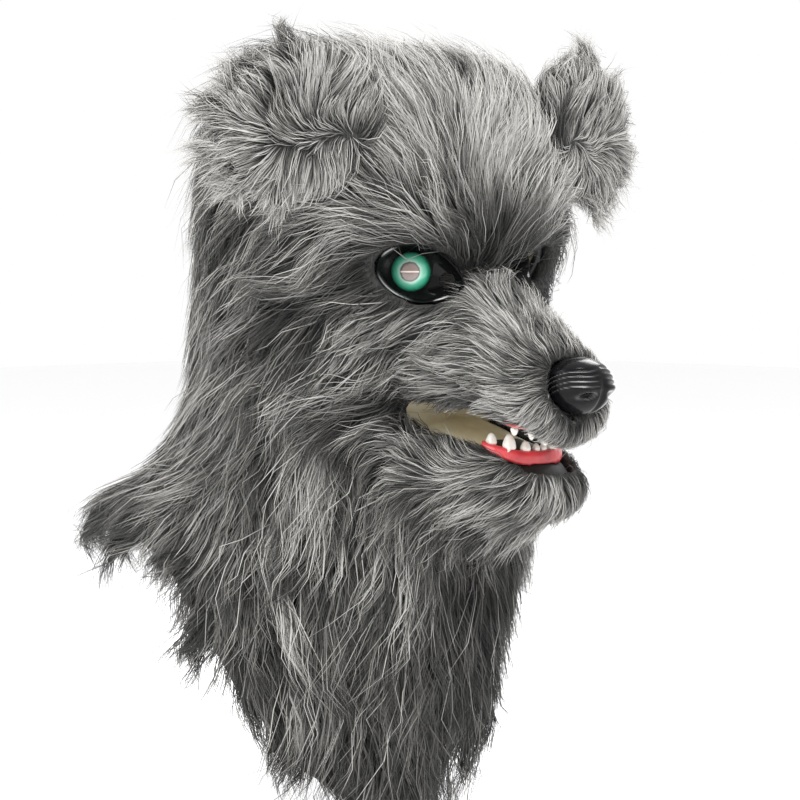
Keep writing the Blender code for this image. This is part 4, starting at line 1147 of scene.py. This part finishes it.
def lofted(name, rings, matrix, first=None, last=None):
    """A mesh through rings of equal counts, with a point closing either end."""
    count = len(rings[0])
    points = [tuple(p) for ring in rings for p in ring]
    faces = []
    for k in range(len(rings) - 1):
        for i in range(count):
            j = (i + 1) % count
            faces.append((k * count + i, k * count + j, (k + 1) * count + j, (k + 1) * count + i))
    for end, base, flip in ((first, 0, True), (last, (len(rings) - 1) * count, False)):
        if end is None:
            continue
        points.append(tuple(end))
        tip = len(points) - 1
        for i in range(count):
            a, b = base + i, base + (i + 1) % count
            faces.append((b, a, tip) if flip else (a, b, tip))
    mesh = bpy.data.meshes.new(name)
    mesh.from_pydata(points, [], faces)
    mesh.transform(matrix)
    work = bmesh.new()
    work.from_mesh(mesh)
    bmesh.ops.recalc_face_normals(work, faces=work.faces)
    if work.calc_volume(signed=True) < 0:
        bmesh.ops.reverse_faces(work, faces=work.faces)
    work.to_mesh(mesh)
    work.free()
    return mesh


EYE_CUP = (
    # height along the eye's axis, share of the almond
    (-0.0118, 0.80), (-0.0118, 0.93), (-0.0020, 0.992), (-0.0004, 1.0), (0.0004, 0.985),
    (0.0004, 0.955), (-0.0006, 0.925), (-0.0022, 0.88), (-0.0048, 0.76), (-0.0070, 0.60),
    (-0.0084, 0.40), (-0.0090, 0.20),
)
DOME_RADIUS, DOME_RISE, DOME_SHIFT, EYE_DISH = 0.0130, 0.0100, 0.0065, 0.0090
SIGHT_RADIUS, SIGHT_SHIFT = 0.0050, 0.0165
# The cup's rim carries painted highlights: pale bands that stand in for the lamps' reflections.
RIM_LIGHTS = ((-128, 26), (148, 12), (-52, 9))  # degrees round the rim, and half widths
RIM_SHARE, RIM_WIDTH = 0.955, 0.02  # where the rim's light lies, as shares of the almond
# Shares of the dome's radius: the iris's ragged edge, the pupil, and the line across it.
IRIS_WOBBLE, PUPIL_SHARE, PUPIL_LINE = 0.07, 0.44, 0.035


def iris_look():
    clear_coat = {"Coat_Weight": 1.0, "Coat_Roughness": 0.03}
    look, tree, shader = new_look("iris", (0.1, 0.6, 0.45), 0.12, **clear_coat)
    far = add(tree, "ShaderNodeAttribute", attribute_name="from_middle")
    level = add(tree, "ShaderNodeAttribute", attribute_name="level")
    streaks = add(tree, "ShaderNodeTexNoise", Scale=420.0, Detail=3.0)
    own_place(tree, (streaks, "Vector"))
    wobble = add(tree, "ShaderNodeMath", operation="MULTIPLY_ADD")
    join(tree, (streaks, "Fac"), (wobble, 0))
    wobble.inputs[1].default_value = IRIS_WOBBLE
    join(tree, (far, "Fac"), (wobble, 2))
    rings = ramp(
        tree,
        [
            (0.00, (0.20, 0.14, 0.12)), (0.40, (0.26, 0.19, 0.17)), (0.48, (0.07, 0.10, 0.09)),
            (0.54, (0.42, 0.62, 0.52)), (0.66, (0.13, 0.52, 0.36)), (0.86, (0.035, 0.34, 0.20)),
            (0.95, (0.01, 0.14, 0.08)), (1.00, (0.003, 0.02, 0.012)),
        ],
        (wobble, 0),
    )
    line = add(tree, "ShaderNodeMath", operation="COMPARE")
    join(tree, (level, "Fac"), (line, 0))
    line.inputs[1].default_value = 0.0
    line.inputs[2].default_value = PUPIL_LINE
    inside = less_than(tree, (far, "Fac"), PUPIL_SHARE)
    both = add(tree, "ShaderNodeMath", operation="MULTIPLY")
    join(tree, line, (both, 0))
    join(tree, inside, (both, 1))
    colour, pale = rings.outputs["Color"], (0.85, 0.72, 0.66, 1)
    mix_into(tree, shader.inputs["Base Color"], colour, pale, both.outputs[0])
    return look


iris = iris_look()


def eye(hand, side):
    rings = [almond(EYE_LENGTH, EYE_HEIGHT) * share + [0, 0, height] for height, share in EYE_CUP]
    matrix = eye_frame(hand)
    mesh = lofted("cup_" + side, rings, matrix, (0, 0, EYE_CUP[0][0]), (0, 0, -EYE_DISH))
    cup = object_of(mesh, "eye_socket_" + side, black_gloss)
    hole = bmesh.new()
    radii = {"radius1": SIGHT_RADIUS, "radius2": SIGHT_RADIUS}
    bmesh.ops.create_cone(hole, cap_ends=True, segments=40, depth=0.06, **radii)
    hole.transform(matrix @ Matrix.Translation((SIGHT_SHIFT, 0, 0)))
    drill_mesh = bpy.data.meshes.new("drill")
    hole.to_mesh(drill_mesh)
    hole.free()
    drill = object_of(drill_mesh, "drill", smooth=False)
    with_modifier(cup, "BOOLEAN", object=drill, operation="DIFFERENCE", solver="EXACT")
    bpy.data.objects.remove(drill)
    cup.data.shade_smooth()
    cup.data.set_sharp_from_angle(angle=math.radians(50))
    # Painted highlights on the cup's rim, stored as glint.
    local = np.array([matrix.inverted() @ v.co for v in cup.data.vertices])
    across = local[:, 0] / (EYE_LENGTH / 2)
    upward = local[:, 1] / (EYE_HEIGHT / 2) / narrowed(across)
    turn = np.degrees(np.arctan2(upward, across))
    off_rim = (np.hypot(across, upward) - RIM_SHARE) / RIM_WIDTH
    rim_line = np.exp(-(off_rim**2)) * (local[:, 2] > -0.004)
    lit = sum(np.exp(-(((turn - middle) / spread) ** 4)) for middle, spread in RIM_LIGHTS)
    write_point(cup.data, "glint", rim_line * lit)
    hand_in(cup, "gloss_black", "eye_cup_" + side)
    steps = 22
    rises = [math.pi / 2 * k / steps for k in range(steps)]
    rings = [
        circle() * DOME_RADIUS * math.cos(rise) + [0, 0, DOME_RISE * math.sin(rise)]
        for rise in rises
    ]
    seat = matrix @ Matrix.Translation((-DOME_SHIFT, 0, -EYE_DISH))
    mesh = lofted("dome_" + side, rings, seat, (0, 0, 0), (0, 0, DOME_RISE))
    local = np.array([seat.inverted() @ v.co for v in mesh.vertices])
    write_point(mesh, "from_middle", np.hypot(local[:, 0], local[:, 1]) / DOME_RADIUS)
    upright = Matrix.Rotation(-EYE_DROOP, 3, "Z")
    write_point(mesh, "level", (local[:, :2] @ np.array(upright)[:2, :2].T)[:, 1] / DOME_RADIUS)
    dome = object_of(mesh, "eye_dome_" + side, iris)
    hand_in(dome, "eye_green", "eye_iris_" + side)


eye(1, "left")
eye(-1, "right")

# %% [markdown]
# The nose is a soft black moulding with a leathery skin. It starts as the ball that the
# solid is, with many more points, and its points are then moved: a groove down the front,
# a comma-shaped nostril on each side, and the creases that fan over its top. A pale
# painted highlight beside each crease and round each nostril is stored on the mesh.

# %% Nose
NOSE_AT = Vector((0.0, -0.167, -0.18144))
NOSE_HALF = (0.0218, 0.0203, 0.0176)
CREASES = (0.16, 0.34, 0.52, 0.68)


def from_nostril(x, z):
    """The distance from the nearer nostril's middle, as a share of its half sizes."""
    return (abs(x) - 0.50) / 0.24, (z + 0.30 + 0.25 * (abs(x) - 0.5)) / 0.13


def nostril_highlight(x, z):
    """The painted highlight on the rim of each nostril."""
    return math.exp(-(((math.hypot(*from_nostril(x, z)) - 0.95) / 0.14) ** 2))


def nose_piece():
    glints = []
    ball = bmesh.new()
    bmesh.ops.create_uvsphere(ball, u_segments=96, v_segments=72, radius=1.0)
    for vertex in ball.verts:
        x, y, z = vertex.co
        broad = 1.0 + 0.10 * z - 0.12 * max(0.0, -z) ** 2
        front = max(0.0, -y)
        groove = 0.13 * math.exp(-((x / 0.09) ** 2)) * front * max(0.0, 0.50 - z)
        # bright is the painted highlight beside each crease; sunk is the crease's own depth.
        sunk = bright = 0.0
        for crease in CREASES:
            off = z - crease + 0.12 * abs(x) + 0.26 * (y + 0.75) ** 2 - 0.04 * math.sin(5 * x)
            shown = min(1.0, abs(x) * 2.2) * math.exp(-(((abs(x) - 0.62) / 0.34) ** 2))
            bright = max(bright, shown * math.exp(-(((off + 0.045) / 0.016) ** 2)))
            sunk += 0.075 * math.exp(-((off / 0.034) ** 2)) * min(1.0, abs(x) * 2.2)
        nx, nz = from_nostril(x, z)
        nostril = 0.34 * math.exp(-((nx * nx + nz * nz) ** 1.6)) * (front > 0.15)
        wing = 0.06 * math.exp(-(((abs(x) - 0.55) / 0.3) ** 2 + ((z + 0.05) / 0.12) ** 2)) * front
        scale = 1.0 - sunk - nostril * 0.55 + wing
        wide, deep, tall = NOSE_HALF
        moved = (x * broad * wide * scale, (y * scale + groove) * deep, z * tall * scale)
        vertex.co = Vector(moved)
        # The painted highlights of the creases and the nostril rims are kept as glint.
        glints.append(max(bright, nostril_highlight(x, z) * 0.5 * front))
    ball.transform(Matrix.Translation(NOSE_AT))
    mesh = bpy.data.meshes.new("nose_pad")
    ball.to_mesh(mesh)
    ball.free()
    write_point(mesh, "glint", np.array(glints))
    piece = object_of(mesh, "nose_pad", nose_gloss)
    hand_in(piece, "gloss_black", "nose")


nose_piece()

# %% [markdown]
# Gums and teeth are soft vinyl. The solids are coarse, so their merged copies are
# rounded by a voxel remesh and smoothing, the teeth on a finer grid and made a little
# fuller, with each row joined in one piece.

# %% Gums and teeth
def softened(name, solids, voxel, rounds, look, slot, fuller=0.0):
    piece = object_of(merged_copy(solids, name), name, look)
    with_modifier(piece, "REMESH", mode="VOXEL", voxel_size=voxel)
    points, lines = array_of(piece.data), edges_of(piece.data)
    for _ in range(rounds):
        points += 0.5 * (neighbours_mean(points, lines) - points)
    points += normals_of(piece.data) * fuller
    move_points(piece.data, points)
    paint(piece.data, look)
    hand_in(piece, slot, *solids)


def row_of(word):
    return sorted(n for n in nodes if n.startswith(word + "_tooth"))


softened("lower_gum_soft", ["lower_gum"], 0.0009, 4, gum_red, "gum_red")
softened("upper_gum_soft", ["upper_gum"], 0.0009, 4, gum_red, "gum_red")
softened("lower_teeth", row_of("lower"), 0.00055, 4, tooth_white, "tooth_white", 0.0009)
softened("upper_teeth", row_of("upper"), 0.00055, 4, tooth_white, "tooth_white", 0.0006)

# %% [markdown]
# The two shells are one moulding of tan plastic each, smooth outside and a little
# mottled. Only their lips show in the open mouth. The hood's lining is a knitted ground:
# fine rows of loops that follow the height of the cloth.

# %% Shells and lining
def shell_piece(solid, name, look, slot, angle=50):
    piece = object_of(merged_copy([solid], name), name, look)
    piece.data.shade_smooth()
    piece.data.set_sharp_from_angle(angle=math.radians(angle))
    hand_in(piece, slot, solid)
    return piece


def knit_look():
    look, tree, shader = new_look("knitted_ground", (0.09, 0.09, 0.088), 0.85, Sheen_Weight=0.3)
    waves = {"Scale": 260.0, "Distortion": 1.2, "bands_direction": "Z"}
    rows_of_loops = add(tree, "ShaderNodeTexWave", **waves)
    own_place(tree, (rows_of_loops, "Vector"))
    columns = add(tree, "ShaderNodeTexVoronoi", Scale=520.0)
    own_place(tree, (columns, "Vector"))
    height = add(tree, "ShaderNodeMath", operation="SUBTRACT")
    join(tree, (rows_of_loops, "Fac"), (height, 0))
    join(tree, (columns, "Distance"), (height, 1))
    bump = add(tree, "ShaderNodeBump", Strength=0.7, Distance=0.0006)
    join(tree, height, (bump, "Height"))
    join(tree, (bump, "Normal"), (shader, "Normal"))
    yarn = [(0.0, (0.045, 0.045, 0.044)), (1.0, (0.14, 0.138, 0.134))]
    colour = ramp(tree, yarn, (rows_of_loops, "Fac"))
    join(tree, (colour, "Color"), (shader, "Base Color"))
    return look


NEAR_BLACK = (0.008, 0.008, 0.008)
BLACK_ROUND_EYES, BLACK_AHEAD_Y, LIP_AHEAD_Y = 0.040, -0.142, -0.108


def ahead_of(tree, y):
    """1 in front of a plane across the head."""
    parts = add(tree, "ShaderNodeSeparateXYZ")
    own_place(tree, (parts, "Vector"))
    return less_than(tree, (parts, "Y"), y)


def near_the_eyes(tree):
    """1 close to either eye and behind the nose, where the moulding is painted black."""
    fold = add(tree, "ShaderNodeVectorMath", operation="ABSOLUTE")
    own_place(tree, (fold, 0))
    gap = add(tree, "ShaderNodeVectorMath", operation="DISTANCE")
    join(tree, fold, (gap, 0))
    gap.inputs[1].default_value = (EYE_AT.x, -EYE_AT.y, -EYE_AT.z)
    either = add(tree, "ShaderNodeMath", operation="MAXIMUM")
    join(tree, less_than(tree, (gap, "Value"), BLACK_ROUND_EYES), (either, 0))
    join(tree, ahead_of(tree, BLACK_AHEAD_Y), (either, 1))
    return either.outputs[0]


def front_of_jaw(tree):
    """1 at the front of the jaw, ahead of a plane across the head, where the moulding is coloured
    near black.
    """
    return ahead_of(tree, LIP_AHEAD_Y).outputs[0]


face_tan = over_finish(shell_tan.copy(), NEAR_BLACK, near_the_eyes)
jaw_tan = over_finish(shell_tan.copy(), NEAR_BLACK, front_of_jaw)
shell_piece("face_shell", "face_moulding", face_tan, "face_shell")
shell_piece("jaw_shell", "jaw_moulding", jaw_tan, "face_shell")
lining = shell_piece("hood_backing", "hood_lining", knit_look(), "hood_fabric")
